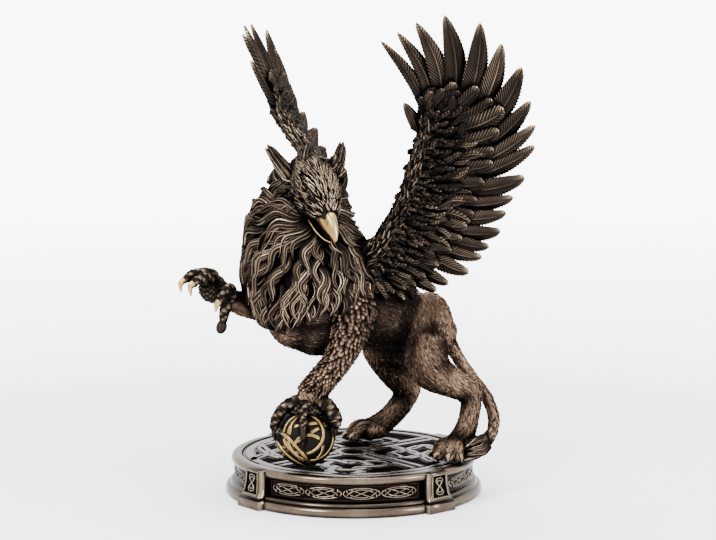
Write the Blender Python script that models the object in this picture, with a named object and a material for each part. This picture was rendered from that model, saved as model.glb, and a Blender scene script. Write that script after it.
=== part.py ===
"""Griffin statue on a round knotwork plinth: griffin casting, orb, plinth."""
import math

import bmesh
import bpy
import numpy as np
from mathutils import Vector
from mathutils.bvhtree import BVHTree

MM = 0.001

# Plinth, millimetres
PLINTH_R = 70.3
PLINTH_H = 21.0
PANEL_R = 65.3
RIM_R = 67.0
FIELD_R = 60.0
FIELD_Z = 20.1
BAND_TOP_Z = 20.7
BRACKET_ANGLES = (45.0, 135.0, 225.0, 315.0)
LATHE_SIDES = 40
# Corner block: half width, outer radius, height
BLOCK = ((9.2, 72.8, 0.0), (9.2, 72.8, 4.9), (8.2, 71.6, 6.0), (7.3, 70.2, 9.0), (6.7, 69.3, 14.0), (6.4, 69.1, 20.8))

# Orb under the near fore foot
ORB_R = 15.4
ORB_BAND_LIFT = 0.6
ORB_CENTRE = np.array([-21.2, -46.0, 37.6])

# Griffin
CLEARANCE = 0.3
SOLE_Z = PLINTH_H + CLEARANCE
VOXEL = 0.8
GRIFFIN_TRIS = 5600
PLINTH_TRIS = 3100
ORB_TRIS = 900


# Geometry

def unit(v):
    v = np.asarray(v, float)
    return v / max(np.linalg.norm(v), 1e-9)


def spline(points, count):
    """Catmull-Rom curve through the points, sampled evenly by point index."""
    pts = np.asarray(points, float)
    ext = np.vstack([2 * pts[0] - pts[1], pts, 2 * pts[-1] - pts[-2]])
    out = []
    for u in np.linspace(0, len(pts) - 1, count):
        i = min(int(u), len(pts) - 2)
        t = u - i
        a, b, c, d = ext[i:i + 4]
        out.append(0.5 * (2 * b + (c - a) * t + (2 * a - 5 * b + 4 * c - d) * t * t
                          + (3 * b - a - 3 * c + d) * t ** 3))
    return np.array(out)


def frames(path, up):
    """Side and up vectors along a path, kept square to it."""
    tangents = np.gradient(path, axis=0)
    tangents /= np.maximum(np.linalg.norm(tangents, axis=1), 1e-9)[:, None]
    side = np.cross(tangents, np.asarray(up, float))
    side /= np.maximum(np.linalg.norm(side, axis=1), 1e-9)[:, None]
    return side, np.cross(side, tangents)


def skin(rings, close=False):
    """Closed shell through rings of equal point count; flat caps at the ends."""
    count, sides = len(rings), len(rings[0])
    verts = [tuple(p) for ring in rings for p in ring]
    faces = []
    steps = count if close else count - 1
    for i in range(steps):
        j = (i + 1) % count
        for k in range(sides):
            m = (k + 1) % sides
            faces.append((i * sides + k, i * sides + m, j * sides + m, j * sides + k))
    if not close:
        faces.append(tuple(range(sides - 1, -1, -1)))
        faces.append(tuple((count - 1) * sides + k for k in range(sides)))
    return verts, faces


def limb(points, radii, up=(0, 0, 1), sides=12, count=None, squash=1.0):
    """Rounded tube: radii may be numbers or (across, along-up) pairs."""
    pair = np.array([(r, r * squash) if np.isscalar(r) else r for r in radii], float)
    count = count or 4 * len(points)
    path = spline(points, count)
    size = np.maximum(spline(pair, count), 0.3)
    side, lift = frames(path, up)
    angle = np.linspace(0, 2 * math.pi, sides, endpoint=False)
    tang = np.gradient(path, axis=0)
    tang /= np.maximum(np.linalg.norm(tang, axis=1), 1e-9)[:, None]
    rings = []
    for i in range(count):
        rings.append(path[i] + np.outer(np.cos(angle) * size[i, 0], side[i])
                     + np.outer(np.sin(angle) * size[i, 1], lift[i]))
    domed = []
    for shrink, out in ((0.4, 0.92), (0.8, 0.6)):
        domed.append((rings[0] - path[0]) * shrink + path[0] - tang[0] * size[0].mean() * out)
    tail = []
    for shrink, out in ((0.8, 0.6), (0.4, 0.92)):
        tail.append((rings[-1] - path[-1]) * shrink + path[-1] + tang[-1] * size[-1].mean() * out)
    return skin(domed + rings + tail)


def ball(centre, radii, axis=(0, 0, 1), up=(0, 1, 0), sides=16, rows=10):
    """Ellipsoid with its third radius along the axis."""
    w = unit(axis)
    u = unit(np.cross(up, w))
    v = np.cross(w, u)
    rings = []
    for phi in np.linspace(0.08, math.pi - 0.08, rows):
        ring = []
        for th in np.linspace(0, 2 * math.pi, sides, endpoint=False):
            ring.append(np.asarray(centre, float) - w * radii[2] * math.cos(phi)
                        + u * radii[0] * math.sin(phi) * math.cos(th)
                        + v * radii[1] * math.sin(phi) * math.sin(th))
        rings.append(ring)
    return skin(rings)


def blade(path, widths, normals, ridge=1.5, edge=0.65):
    """Feather or leaf: flat along its normals, with a raised midrib both sides."""
    path = np.asarray(path, float)
    tang = np.gradient(path, axis=0)
    rings = []
    for i, p in enumerate(path):
        n = unit(normals[i])
        side = unit(np.cross(tang[i], n))
        w = max(widths[i], 0.8) / 2
        rings.append([p - side * w - n * edge, p - n * ridge, p + side * w - n * edge,
                      p + side * w + n * edge, p + n * ridge, p - side * w + n * edge])
    return skin(rings)


# Blender

def new_mesh(name, shells):
    verts, faces = [], []
    for v, f in shells:
        base = len(verts)
        verts += [(p[0] * MM, p[1] * MM, p[2] * MM) for p in v]
        faces += [tuple(i + base for i in face) for face in f]
    mesh = bpy.data.meshes.new(name)
    mesh.from_pydata(verts, [], faces)
    mesh.update()
    bm = bmesh.new()
    bm.from_mesh(mesh)
    bmesh.ops.recalc_face_normals(bm, faces=bm.faces)
    bm.to_mesh(mesh)
    bm.free()
    obj = bpy.data.objects.new(name, mesh)
    bpy.context.scene.collection.objects.link(obj)
    return obj


def bake(obj):
    """Put the result of the object's modifiers into its own mesh."""
    graph = bpy.context.evaluated_depsgraph_get()
    graph.update()
    mesh = bpy.data.meshes.new_from_object(obj.evaluated_get(graph))
    obj.modifiers.clear()
    obj.data = mesh


def boolean(obj, other, operation, self_too=False):
    mod = obj.modifiers.new("cut", "BOOLEAN")
    mod.operation = operation
    mod.solver = "EXACT"
    mod.object = other
    mod.use_self = self_too
    bake(obj)
    bpy.data.objects.remove(other)


def keep_main_body(obj):
    """Drop loose crumbs and inner voids left by a union."""
    bm = bmesh.new()
    bm.from_mesh(obj.data)
    seen = set()
    groups = []
    for face in bm.faces:
        if face.index in seen:
            continue
        stack, group = [face], []
        seen.add(face.index)
        while stack:
            f = stack.pop()
            group.append(f)
            for e in f.edges:
                for g in e.link_faces:
                    if g.index not in seen:
                        seen.add(g.index)
                        stack.append(g)
        groups.append(group)
    groups.sort(key=len, reverse=True)
    loose = [f for group in groups[1:] for f in group]
    bmesh.ops.delete(bm, geom=loose, context="FACES")
    wires = [v for v in bm.verts if not v.link_faces]
    bmesh.ops.delete(bm, geom=wires, context="VERTS")
    bm.to_mesh(obj.data)
    bm.free()


def tidy(obj, distance=0.02, flat=0.0):
    """Triangles only, with no sliver edges; flat is the angle treated as one plane."""
    bm = bmesh.new()
    bm.from_mesh(obj.data)
    bmesh.ops.remove_doubles(bm, verts=bm.verts, dist=distance * MM)
    if flat:
        bmesh.ops.dissolve_limit(bm, angle_limit=math.radians(flat), verts=bm.verts, edges=bm.edges)
    bmesh.ops.triangulate(bm, faces=bm.faces)
    bm.to_mesh(obj.data)
    bm.free()


def reduce(obj, count):
    """Collapse the least telling edges until about count triangles remain."""
    tidy(obj, 0.005)
    if len(obj.data.polygons) > count:
        fewer = obj.modifiers.new("fewer", "DECIMATE")
        fewer.ratio = count / len(obj.data.polygons)
        bake(obj)
    keep_main_body(obj)
    tidy(obj, 0.005)


# Plinth

def polar(angle_deg, radius, z):
    """Angle is measured from the front (-Y) toward +X."""
    a = math.radians(angle_deg)
    return np.array([math.sin(a) * radius, -math.cos(a) * radius, z])


def lathe(profile, sides):
    rings = []
    for r, z in profile:
        rings.append([polar(360.0 * k / sides, r, z) for k in range(sides)])
    return skin(rings)


def strip(path, outward, width, top, bottom, close=True, ridged=False):
    """Raised ribbon, flat or ridged, along a path on a surface with the given outward vectors."""
    path = np.asarray(path, float)
    if close:
        tang = np.roll(path, -1, axis=0) - np.roll(path, 1, axis=0)
    else:
        tang = np.gradient(path, axis=0)
    rings = []
    for i, p in enumerate(path):
        n = unit(outward[i])
        side = unit(np.cross(tang[i], n)) * width / 2
        lift = top[i] if np.ndim(top) else top
        low = n * (bottom - 0.3 * lift)
        if ridged:
            rings.append([p - side - low, p + side - low, p + n * lift])
        else:
            rings.append([p - side - low, p + side - low, p + side + n * lift, p - side + n * lift])
    return skin(rings, close)


def weave_signs(loops):
    """Over (+1) and under (-1) at each crossing of closed plane curves, as a height per point."""
    heights = [np.zeros(len(c)) for c in loops]
    for a, c in enumerate(loops):
        found = []
        for b, d in enumerate(loops):
            for i in range(len(c)):
                p, q = c[i], c[(i + 1) % len(c)]
                for j in range(len(d)):
                    if a == b and min((i - j) % len(c), (j - i) % len(c)) < 2:
                        continue
                    r, s = d[j], d[(j + 1) % len(d)]
                    den = (q[0] - p[0]) * (s[1] - r[1]) - (q[1] - p[1]) * (s[0] - r[0])
                    if abs(den) < 1e-9:
                        continue
                    t = ((r[0] - p[0]) * (s[1] - r[1]) - (r[1] - p[1]) * (s[0] - r[0])) / den
                    u = ((r[0] - p[0]) * (q[1] - p[1]) - (r[1] - p[1]) * (q[0] - p[0])) / den
                    if 0 <= t < 1 and 0 <= u < 1:
                        found.append(i + t)
        found.sort()
        for k, at in enumerate(found):
            sign = 1 if (k + a) % 2 == 0 else -1
            for i in range(len(c)):
                gap = min((i - at) % len(c), (at - i) % len(c))
                if gap < 1.6:
                    heights[a][i] = sign
    return heights


def make_plinth():
    profile = [(0.01, 0), (PLINTH_R - 0.6, 0), (PLINTH_R, 1.2), (PLINTH_R, 4.2), (PLINTH_R - 2.0, 6.4),
               (PANEL_R + 0.2, 7.4), (PANEL_R - 0.4, 16.4), (RIM_R - 1.2, 17.0),
               (RIM_R, 18.4), (RIM_R - 0.8, PLINTH_H), (FIELD_R + 1.2, PLINTH_H),
               (FIELD_R, FIELD_Z), (0.01, FIELD_Z)]
    body = new_mesh("plinth", [lathe(profile, LATHE_SIDES)])
    tidy(body)

    shells = []
    for angle in BRACKET_ANGLES:
        out = polar(angle, 1, 0)
        across = polar(angle + 90, 1, 0)
        # corner block: narrow at the top, flaring to a wider foot
        rings = []
        for half, r_out, z in BLOCK:
            row = [out * 60 - across * half, out * 60 + across * half, out * r_out + across * half,
                   out * r_out - across * half]
            rings.append([p + np.array([0, 0, z]) for p in row])
        shells.append(skin(rings))
        # two-lobed upright knot on the block face
        loop = []
        for t in np.linspace(0, 2 * math.pi, 12, endpoint=False):
            loop.append(out * (RIM_R + 2.2) + across * 3.4 * math.sin(2 * t)
                        + np.array([0, 0, 13.2 + 5.2 * math.sin(t)]))
        top = [0.5 + 0.25 * (1 if i in (0, 1, 11) else -1) for i in range(12)]
        shells.append(strip(loop, [out] * 12, 1.9, top, 0.9, ridged=True))
        # oval loops with a crossing inside, four to a panel
        for k in range(4):
            mid = angle + 45 + (k - 1.5) * 18.6
            oval, normals = [], []
            for t in np.linspace(0, 2 * math.pi, 10, endpoint=False):
                a = mid + math.degrees(10.0 * math.cos(t) / PANEL_R)
                oval.append(polar(a, PANEL_R, 12.0 + 3.3 * math.sin(t)))
                normals.append(polar(a, 1, 0))
            shells.append(strip(oval, normals, 2.6, 0.8, 0.9, ridged=True))
            for way in (-1, 1):
                bar, normals = [], []
                for x, z in ((-7.0, -2.4 * way), (7.0, 2.4 * way)):
                    a = mid + math.degrees(x / PANEL_R)
                    bar.append(polar(a, PANEL_R, 12.0 + z))
                    normals.append(polar(a, 1, 0))
                shells.append(strip(bar, normals, 2.4, 0.95 + 0.12 * way, 1.3, close=False, ridged=True))
    # double bands from the centre to each block, and the quadrant knots
    for angle in BRACKET_ANGLES:
        across = polar(angle + 90, 1, 0)
        for off in (-3.0, 3.0):
            line = [polar(angle, r, FIELD_Z) + across * off for r in (8.0, 61.0)]
            shells.append(strip(line, [(0, 0, 1)] * 2, 2.6, BAND_TOP_Z - FIELD_Z + 0.06, 0.8, close=False))
        ring, lobes = [], []
        mid = polar(angle + 45, 33.5, 0)
        e1 = polar(angle + 45, 1, 0)
        e2 = polar(angle + 135, 1, 0)
        for t in np.linspace(0, 2 * math.pi, 14, endpoint=False):
            ring.append((11.5 * math.cos(t) + 1.0, 11.5 * math.sin(t)))
        for t in np.linspace(0, 2 * math.pi, 27, endpoint=False):
            r = 13.5 + 7.5 * math.cos(3 * t)
            lobes.append((r * math.cos(t) + 2.0, r * math.sin(t) * 1.15))
        heights = weave_signs([ring, lobes])
        for curve, lift in zip((ring, lobes), heights):
            path = [mid + e1 * x + e2 * y + np.array([0, 0, FIELD_Z]) for x, y in curve]
            top = BAND_TOP_Z - FIELD_Z + 0.16 * lift
            shells.append(strip(path, [(0, 0, 1)] * len(path), 3.4, top, 0.8))
    boss = [polar(22.5 * k, 8.6, FIELD_Z) for k in range(16)]
    shells.append(strip(boss, [(0, 0, 1)] * 16, 2.6, BAND_TOP_Z - FIELD_Z + 0.12, 0.8))
    relief = new_mesh("relief", shells)
    boolean(body, relief, "UNION", self_too=True)
    keep_main_body(body)
    tidy(body, flat=1.0)
    reduce(body, PLINTH_TRIS)
    return body


# Orb

def make_orb():
    core = ball(ORB_CENTRE, (ORB_R, ORB_R, ORB_R), sides=20, rows=13)
    body = new_mesh("orb", [core])
    poles = ((1, 0.2, 0.3), (0.2, 1, 0.5), (-0.6, 0.3, 1), (0.7, -0.8, 0.5), (-0.9, -0.5, 0.35))
    for k, axis in enumerate(poles):
        w = unit(axis)
        u = unit(np.cross((0.3, 0.5, 1), w))
        v = np.cross(w, u)
        path, out = [], []
        for t in np.linspace(0, 2 * math.pi, 18, endpoint=False):
            n = u * math.cos(t + k) + v * math.sin(t + k)
            path.append(ORB_CENTRE + n * ORB_R)
            out.append(n)
        band = new_mesh("band", [strip(path, out, 2.2, ORB_BAND_LIFT - 0.05 * k, 1.4)])
        boolean(body, band, "UNION")
    keep_main_body(body)
    tidy(body)
    reduce(body, ORB_TRIS)
    return body


# Wings

# Flight feathers in the wing's own plane (along the chord, up the span):
# root, tip, width.
FLIGHT = [
    ((27.5, 82), (-2.2, 120), 7.0), ((29.5, 84), (6, 126.2), 9), ((32, 88), (14.5, 134), 10.5),
    ((37, 92), (29, 140.8), 12), ((43, 92), (47.4, 141.5), 12), ((49.5, 90), (60.8, 132.8), 11.5),
    ((54, 84), (73, 122.8), 12.5), ((51, 72), (81, 105.4), 11), ((46, 64), (85, 93.3), 10),
    ((44, 58), (86.8, 81.6), 10), ((42, 51.5), (82.8, 63.9), 11.5), ((40, 43.5), (78, 51.5), 9),
    ((40, 36), (74.6, 42.8), 9), ((38, 29), (73, 31.3), 10), ((36, 25), (67, 22.2), 8.5),
    ((32, 20), (64, 15), 8.5), ((27, 16), (57, 5.4), 10), ((22, 9), (46.5, -3.4), 8.5),
    ((18, 4), (39.9, -8), 8), ((14, 1), (31, -13), 7.5), ((10, -1), (22.8, -17), 7),
    ((6, -2), (15, -19.5), 6.5), ((2, -3), (8, -20), 6), ((-2, -3), (1, -18), 6)]
# Leading edge of the arm and hand, from the shoulder up.
EDGE = [(-3, -3), (1, 3), (9, 11.3), (15, 20.8), (18.2, 32), (18.3, 42), (19.8, 50), (22, 58), (23.6, 66),
        (25.3, 74), (24.5, 81), (22.5, 87)]
# Where the coverts end, by flight feather number.
COVERT_END = [(24, 95), (29, 98), (34, 101), (39, 103), (50, 103), (58, 101), (64, 97), (62, 86), (60, 76),
              (58, 68), (56, 58), (54, 48), (52, 40), (50, 33), (47, 26), (43, 18), (37, 8), (31, 0), (26, -6),
              (21, -9), (15, -12), (10, -13), (5, -13), (0, -12)]
# Arm line the coverts grow from, by flight feather number.
COVERT_ROOT = [(19, 86), (19.5, 84), (20, 82), (20.5, 80), (21, 77), (21, 74), (21, 71), (20.5, 67), (20, 62),
               (19, 57), (17.5, 51), (16.5, 46), (15, 40), (13, 34), (10.5, 28), (8, 22), (4, 15), (1, 9),
               (-1, 5), (-3, 3), (-4, 2), (-5, 1), (-6, 0), (-7, -1)]

# Tips that differ on the far wing, by flight feather number counted from 0.
FAR_TIPS = {4: (60.5, 149.5), 5: (60, 134), 6: (61, 120), 7: (60, 101), 8: (75, 91.5), 9: (82, 80.5), 10: (87, 69),
            11: (82, 56)}
# Sideways bow of the foremost feathers, as a share of their length.
BEND = {0: 0.09, 1: 0.11, 2: 0.11, 3: 0.085}
# Thumb feather of each wing: root, tip, width.
THUMB = {"near": ((21, 77), (12.3, 91.5), 6.5), "far": ((22, 76), (-6.5, 99), 11)}

NEAR_ORIGIN = np.array([8.4, -25.4, 128.1])
NEAR_CHORD = np.array([0.9270, 0.3832, -0.2066])
NEAR_SPAN = np.array([0.1117, -0.3440, 0.9580])
FAR_ORIGIN = np.array([-28.3, -0.6, 155.0])
FAR_CHORD = np.array([0.2647, 0.8061, -0.2900])
FAR_SPAN = np.array([-0.3121, 0.3542, 0.7750])
FAR_SHOULDER_SHIFT = np.array([14.0, -3.0, -26.0])
FAR_ARM_TURN = 9.5
WING_CAMBER = 5.0


def wing_point(which, s, t, h=0.0):
    """Point of a wing: s along the chord, t up the span, h off the outer face."""
    bow = WING_CAMBER * (0.5 - ((s - 40) / 50) ** 2)
    if which == "near":
        normal = unit(np.cross(NEAR_CHORD, NEAR_SPAN))
        return NEAR_ORIGIN + NEAR_CHORD * s + NEAR_SPAN * t + normal * (h + bow)
    normal = -unit(np.cross(FAR_CHORD, FAR_SPAN))
    ease = min(max((75 - t) / 75, 0.0), 1.3)
    turn = FAR_ARM_TURN * (80 - s) / 60 * min(max((75 - t) / 25, 0.0), 1.0) * min(max(0.6 + t / 125, 0.6), 1.0)
    shift = FAR_SHOULDER_SHIFT * ease ** 1.3 + np.array([turn, 0, 0])
    return FAR_ORIGIN + FAR_CHORD * s + FAR_SPAN * t + normal * (h + bow) + shift


def feather(which, root, tip, width, h0=0.0, h1=0.0, bend=0.06, count=6, ridge=1.5, edge=0.65, twist=0.18):
    """Blade in the wing's plane, widest past its middle and blunt at the tip."""
    root, tip = np.asarray(root, float), np.asarray(tip, float)
    along = tip - root
    across = np.array([along[1], -along[0]])
    path, normals, widths = [], [], []
    for u in np.linspace(0, 1, count):
        st = root + along * u + across * bend * math.sin(math.pi * u)
        h = h0 + (h1 - h0) * u
        p = wing_point(which, st[0], st[1], h)
        n = wing_point(which, st[0], st[1], h + 1) - p
        q = st + across / max(np.linalg.norm(across), 1e-6)
        side = unit(wing_point(which, q[0], q[1], h) - p)
        path.append(p)
        normals.append(n + side * twist)
        widths.append(width * (0.62 + 0.5 * math.sin(math.pi * min(u * 0.9 + 0.12, 1)) ** 0.8)
                      * (1 if u < 0.72 else max(0.22, 1 - ((u - 0.72) / 0.285) ** 2.6)))
    return blade(path, widths, normals, ridge, edge)


def wing_shells(which):
    shells = []
    for i, (root, tip, width) in enumerate(FLIGHT):
        tip = FAR_TIPS.get(i, tip) if which == "far" else tip
        bend = BEND.get(i, 0.06)
        shells.append(feather(which, root, tip, width, 0.0, 0.6 * (-1) ** i, bend, count=8))
    # greater coverts, both faces
    for face in (1, -1):
        for i in range(0, len(FLIGHT)):
            a, b = np.array(COVERT_ROOT[i], float), np.array(COVERT_END[i], float)
            tip = np.array(FLIGHT[i][1], float)
            if which == "far" and i in FAR_TIPS:
                b = b - (tip - np.array(FAR_TIPS[i])) * 0.6
            b = b + 0.12 * (tip - b)
            shells.append(feather(which, a + (b - a) * 0.45, b, FLIGHT[i][2] * 1.05, 1.9 * face, 2.6 * face,
                                  count=5, ridge=1.4, edge=0.8))
            if i % 2 == 0:
                shells.append(feather(which, a + (b - a) * 0.12, a + (b - a) * 0.68, FLIGHT[i][2] * 1.25,
                                      3.2 * face, 3.7 * face, count=5, ridge=1.5, edge=0.9))
    # arm plate and leading edge
    arm = [wing_point(which, s, t) for s, t in EDGE]
    shells.append(limb(arm, [7.5, 6.2, 5.0, 4.2, 3.8, 3.5, 3.3, 3.2, 3.0, 2.8, 2.5, 2.0], sides=10, count=30))
    mid = [wing_point(which, s, t) for s, t in [(4, -4), (14, 8), (24, 24), (30, 42), (34, 60), (36, 76), (36, 88)]]
    normal = wing_point(which, 30, 50, 1) - wing_point(which, 30, 50, 0)
    shells.append(limb(mid, [(12, 5), (15, 4.6), (17, 4.2), (17, 3.8), (18, 3.4), (16, 3.0), (9, 2.4)],
                       up=normal, sides=12, count=22))
    root, tip, width = THUMB[which]
    shells.append(feather(which, root, tip, width, 0.0, 0.8, count=6))
    return shells


# Body

def torso_shells():
    spine = [(47.0, 9.0, 87), (40.0, 7.0, 90.6), (30, 3.5, 93.6), (17.3, -1.5, 95.5), (4.3, -8.7, 98.5),
             (-9, -18, 102.5), (-19, -26, 106)]
    girth = [(10, 8.5), (14.5, 14.0), (16.5, 15.6), (16.5, 17.0), (18.5, 20), (21, 24), (20, 23)]
    shells = [limb(spine, girth, sides=18, count=26)]
    shells.append(ball((-15.5, -25, 97.9), (19, 18, 21), axis=(-0.5, -0.5, -0.6)))
    shells.append(ball((-26.5, -28, 98.7), (17.2, 16, 17.4), axis=(-0.5, -0.5, -0.6)))
    # rump and loin
    shells.append(ball((40.2, 7, 92.0), (12.5, 13.0, 12.0), axis=(1, 0.3, -0.3)))
    return shells


def mane_core():
    axis = [(-19.0, -27, 174), (-23.2, -23.5, 163), (-25.5, -22, 147), (-24, -23.5, 130), (-21.5, -26, 113),
            (-20, -27, 100), (-20, -27, 92)]
    radii = [(14, 10), (19.4, 14.5), (26, 20), (30.1, 23), (30.2, 24.5), (25, 22), (14, 14)]
    return limb(axis, radii, up=(0, -1, 0), sides=20, count=24)


FACE = np.array([0.418, -0.646, -0.64])
FACE_CENTRE = np.array([-13.5, -46.0, 156.0])
SKULL = np.array([-16.2, -37.5, 166.5])


def lock_paths(core, count, length, step, wave, seed):
    """Waving locks laid over the mane core, radiating from the face and falling."""
    verts, faces = core
    tree = BVHTree.FromPolygons([Vector(p) for p in verts], faces)
    rng = np.random.default_rng(seed)
    golden = math.pi * (3 - math.sqrt(5))
    out = []
    for i in range(count):
        z = 171 - 78 * ((i + 0.5) / count) ** 0.92
        angle = i * golden + rng.normal(0, 0.1)
        guess = Vector((-21 + 40 * math.cos(angle), -30 + 40 * math.sin(angle), z + rng.normal(0, 1)))
        hit = tree.find_nearest(guess)
        p = np.array(hit[0])
        if np.linalg.norm(p - FACE_CENTRE) < 15:
            continue
        phase = rng.uniform(0, 2 * math.pi)
        size = length * rng.uniform(0.8, 1.2)
        path, normals = [], []
        for k in range(int(size / step)):
            n = np.array(tree.find_nearest(Vector(p))[1])
            away = unit(p - FACE_CENTRE) * (1.2 if p[1] < -30 else 0.5)
            flow = away + np.array([0, 0, -1.0])
            flow = unit(flow - n * np.dot(flow, n))
            side = np.cross(n, flow)
            swing = math.cos(phase + 2 * math.pi * k * step / wave)
            path.append(p + n * (0.4 + 1.8 * math.sin(math.pi * (k * step / size)) ** 0.5))
            normals.append(n)
            p = p + (flow + side * 0.75 * swing) * step
            p = np.array(tree.find_nearest(Vector(p))[0])
            if p[2] < 84:
                break
        if len(path) > 4:
            out.append((np.array(path), normals))
    return out


def mane_shells():
    core = mane_core()
    shells = [core]
    for path, normals in lock_paths(core, 64, 31, 2.4, 21, 4):
        u = np.linspace(0, 1, len(path))
        widths = 10.5 * (0.45 + 0.6 * np.sin(np.pi * np.minimum(u * 0.85 + 0.15, 1))) * (1 - 0.82 * u ** 3)
        shells.append(blade(path, widths, normals, ridge=4.0, edge=1.0))
    return shells


def head_shells():
    side = unit(np.cross(FACE, (0, 0, 1)))
    brow_up = np.cross(side, FACE)

    def head(f, s, u):
        """f ahead along the face, s to the griffin's right, u up, from the skull's centre."""
        return SKULL + FACE * f + side * s + brow_up * u

    shells = [ball(SKULL, (11.5, 12.5, 13), axis=FACE, up=brow_up)]
    shells.append(limb([head(-6, 0, 1), head(3, 0, 1), head(10, 0, 0.2), head(15, 0, 0.2), head(19.5, 0, 0)],
                       [(11, 10), (11, 10), (8.4, 7.4), (6.2, 5.2), (4.6, 3.2)], up=brow_up, sides=12))
    # open beak: hooked upper half, thin lower half
    shells.append(limb([head(15, 0, 0), head(21, 0, -0.4), head(25, 0, -1.0), head(28.6, 0, -1.9), head(31.2, 0, -3.6),
                        head(32.6, 0, -6.4)],
                       [(5.0, 3.4), (4.6, 3.2), (3.7, 2.9), (2.5, 2.1), (1.4, 1.4), (0.7, 0.7)], up=brow_up, sides=12))
    shells.append(limb([head(2, 0, -11), head(9, 0, -12.6), head(17, 0, -12.8), head(24, 0, -11.8), head(29, 0, -9.7)],
                       [(7.0, 3.6), (5.8, 2.4), (4.3, 1.6), (2.3, 1.1), (0.9, 0.8)], up=brow_up, sides=10))
    for way in (-1, 1):
        brow = [head(-2, 8.8 * way, 6.8), head(2.2, 8.6 * way, 5.8), head(7.5, 7.2 * way, 3.9), head(11.5, 5.7 * way, 2.0),
                head(15.2, 3.9 * way, 1.3)]
        shells.append(limb(brow, [1.8, 2.5, 2.7, 2.3, 1.3], sides=8))
        cheek = [head(-3, 9.0 * way, -5.5), head(4, 8.6 * way, -5.2), head(11, 6.8 * way, -3.8), head(16.5, 5.2 * way, -2.4)]
        shells.append(limb(cheek, [4.2, 3.0, 1.9, 1.3], sides=8))
    # feather tufts
    for base, tip, lean in (((-23.6, -36.8, 165.5), (-42.3, -33.9, 190.0), (-0.2, -1, 0.2)),
                            ((-12.0, -34.0, 166.0), (-3.6, -24.2, 191.2), (0.5, -1, 0.3))):
        base, tip = np.array(base), np.array(tip)
        mid = (base + tip) / 2 + np.array([-1.0 if tip[0] < -20 else 1.6, 0, 1.0])
        path = spline([base, mid, tip], 7)
        shells.append(blade(path, [8.5, 9.0, 8.6, 7.8, 7.0, 6.0, 3.6], [lean] * 7, ridge=2.8, edge=1.6))
    return shells


# Legs

def leg_shells():
    shells = []
    # near hind leg
    shells.append(ball((40.0, -6.5, 88.2), (14.6, 11, 21.8), axis=(0.1, 0.18, 1), up=(0, 1, 0)))
    shells.append(limb([(40.5, -8, 83), (42.5, -12, 69.5), (53.0, -11.5, 62.2), (64.0, -9, 57.0)],
                       [(11, 13), (9.8, 11.0), (7.2, 8.2), (5.8, 6.4)], sides=12))
    shells.append(limb([(65.0, -8.3, 57.5), (64.2, -9.4, 47), (61.8, -11.2, 36), (58, -13.8, 29)],
                       [(5.8, 6.0), (5.2, 5.6), (5.6, 5.8), (6.8, 6.0)], up=(0, 1, 0), sides=12))
    shells.append(ball((56, -16.8, 27.6), (7.4, 9.0, 6.6), axis=(0, 0, 1)))
    for dx, dy in ((-9.5, -3.0), (-7.5, -8.5), (-2.0, -11.5), (3.6, -10.5)):
        tip = np.array([55.5 + dx, -16.8 + dy, 23.6])
        shells.append(limb([(56 + dx * 0.3, -16.8 + dy * 0.3, 29.5), (55.5 + dx * 0.7, -16.8 + dy * 0.7, 28.6), tip],
                           [3.6, 3.6, 2.8], sides=8))
        shells.append(limb([tip + (dx * 0.05, dy * 0.05, 1.2), tip + (dx * 0.24, dy * 0.24, -0.6)], [1.5, 0.7], sides=6))
    # far hind leg
    shells.append(ball((23.5, 16, 83.5), (18.5, 11, 20), axis=(0.75, -0.1, 1), up=(0, 1, 0)))
    shells.append(limb([(14, 16.5, 85), (15.6, 19.5, 75.5), (18.2, 23, 66.5), (22.0, 26.5, 58.5), (28.0, 32, 50.8)],
                       [(12, 12.5), (12.2, 12.4), (10.2, 10.0), (8.0, 8.0), (7.0, 7.4)], sides=12))
    shells.append(limb([(28.4, 32.7, 50.0), (23.4, 33.5, 40.6), (16.3, 33.5, 32.5), (10.5, 32.5, 28.5)],
                       [(6.6, 7.4), (6.2, 7.2), (6.0, 7.0), (6.4, 6.2)], up=(0, 1, 0), sides=12))
    shells.append(ball((8, 31.5, 27), (9.5, 7.6, 6.2), axis=(0, 0, 1)))
    for dx, dy in ((-7.0, 5.5), (-11.0, 1.5), (-11.5, -3.5), (-8.0, -8.0)):
        tip = np.array([6.5 + dx, 31 + dy, 23.6])
        shells.append(limb([(8 + dx * 0.3, 31.5 + dy * 0.3, 29), (6.5 + dx * 0.7, 31 + dy * 0.7, 28), tip],
                           [3.6, 3.6, 2.8], sides=8))
        shells.append(limb([tip + (dx * 0.05, dy * 0.05, 1.2), tip + (dx * 0.22, dy * 0.22, -0.6)], [1.5, 0.7], sides=6))
    # near foreleg
    shells.append(ball((0.5, -30, 104), (13, 12, 19), axis=(0.1, 0.1, 1), up=(0, 1, 0)))
    shells.append(limb([(1.3, -32.9, 104), (0.0, -35.5, 91), (-5.4, -39.5, 77), (-14, -43.8, 66.0), (-19, -46.5, 59)],
                       [(12, 12), (9.6, 10.0), (6.7, 7.8), (6.4, 7.2), (6.8, 6.8)], up=(0, 1, 0), sides=12))
    # raised foreleg
    shells.append(ball((-30, -10, 108), (11, 12, 13), axis=(1, 0.3, 0)))
    shells.append(limb([(-27, -8, 106), (-41.3, -14.5, 102.2), (-48.5, -20.8, 103.2), (-55.1, -26.9, 105.0),
                        (-63.0, -34.6, 108.2)],
                       [(10.5, 10.5), (7.8, 8.4), (7.0, 7.6), (6.2, 6.7), (5.3, 5.6)], sides=12))
    return shells


def orb_point(lat, lon, r):
    """Point over the orb: latitude up from its equator, longitude from -Y toward +X, degrees."""
    a, b = math.radians(lat), math.radians(lon)
    return ORB_CENTRE + r * np.array([math.cos(a) * math.sin(b), -math.cos(a) * math.cos(b), math.sin(a)])


def claw(base, mid, tip, r=1.9):
    return limb([base, mid, tip], [r, r * 0.8, 0.45], sides=8, count=7)


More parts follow.
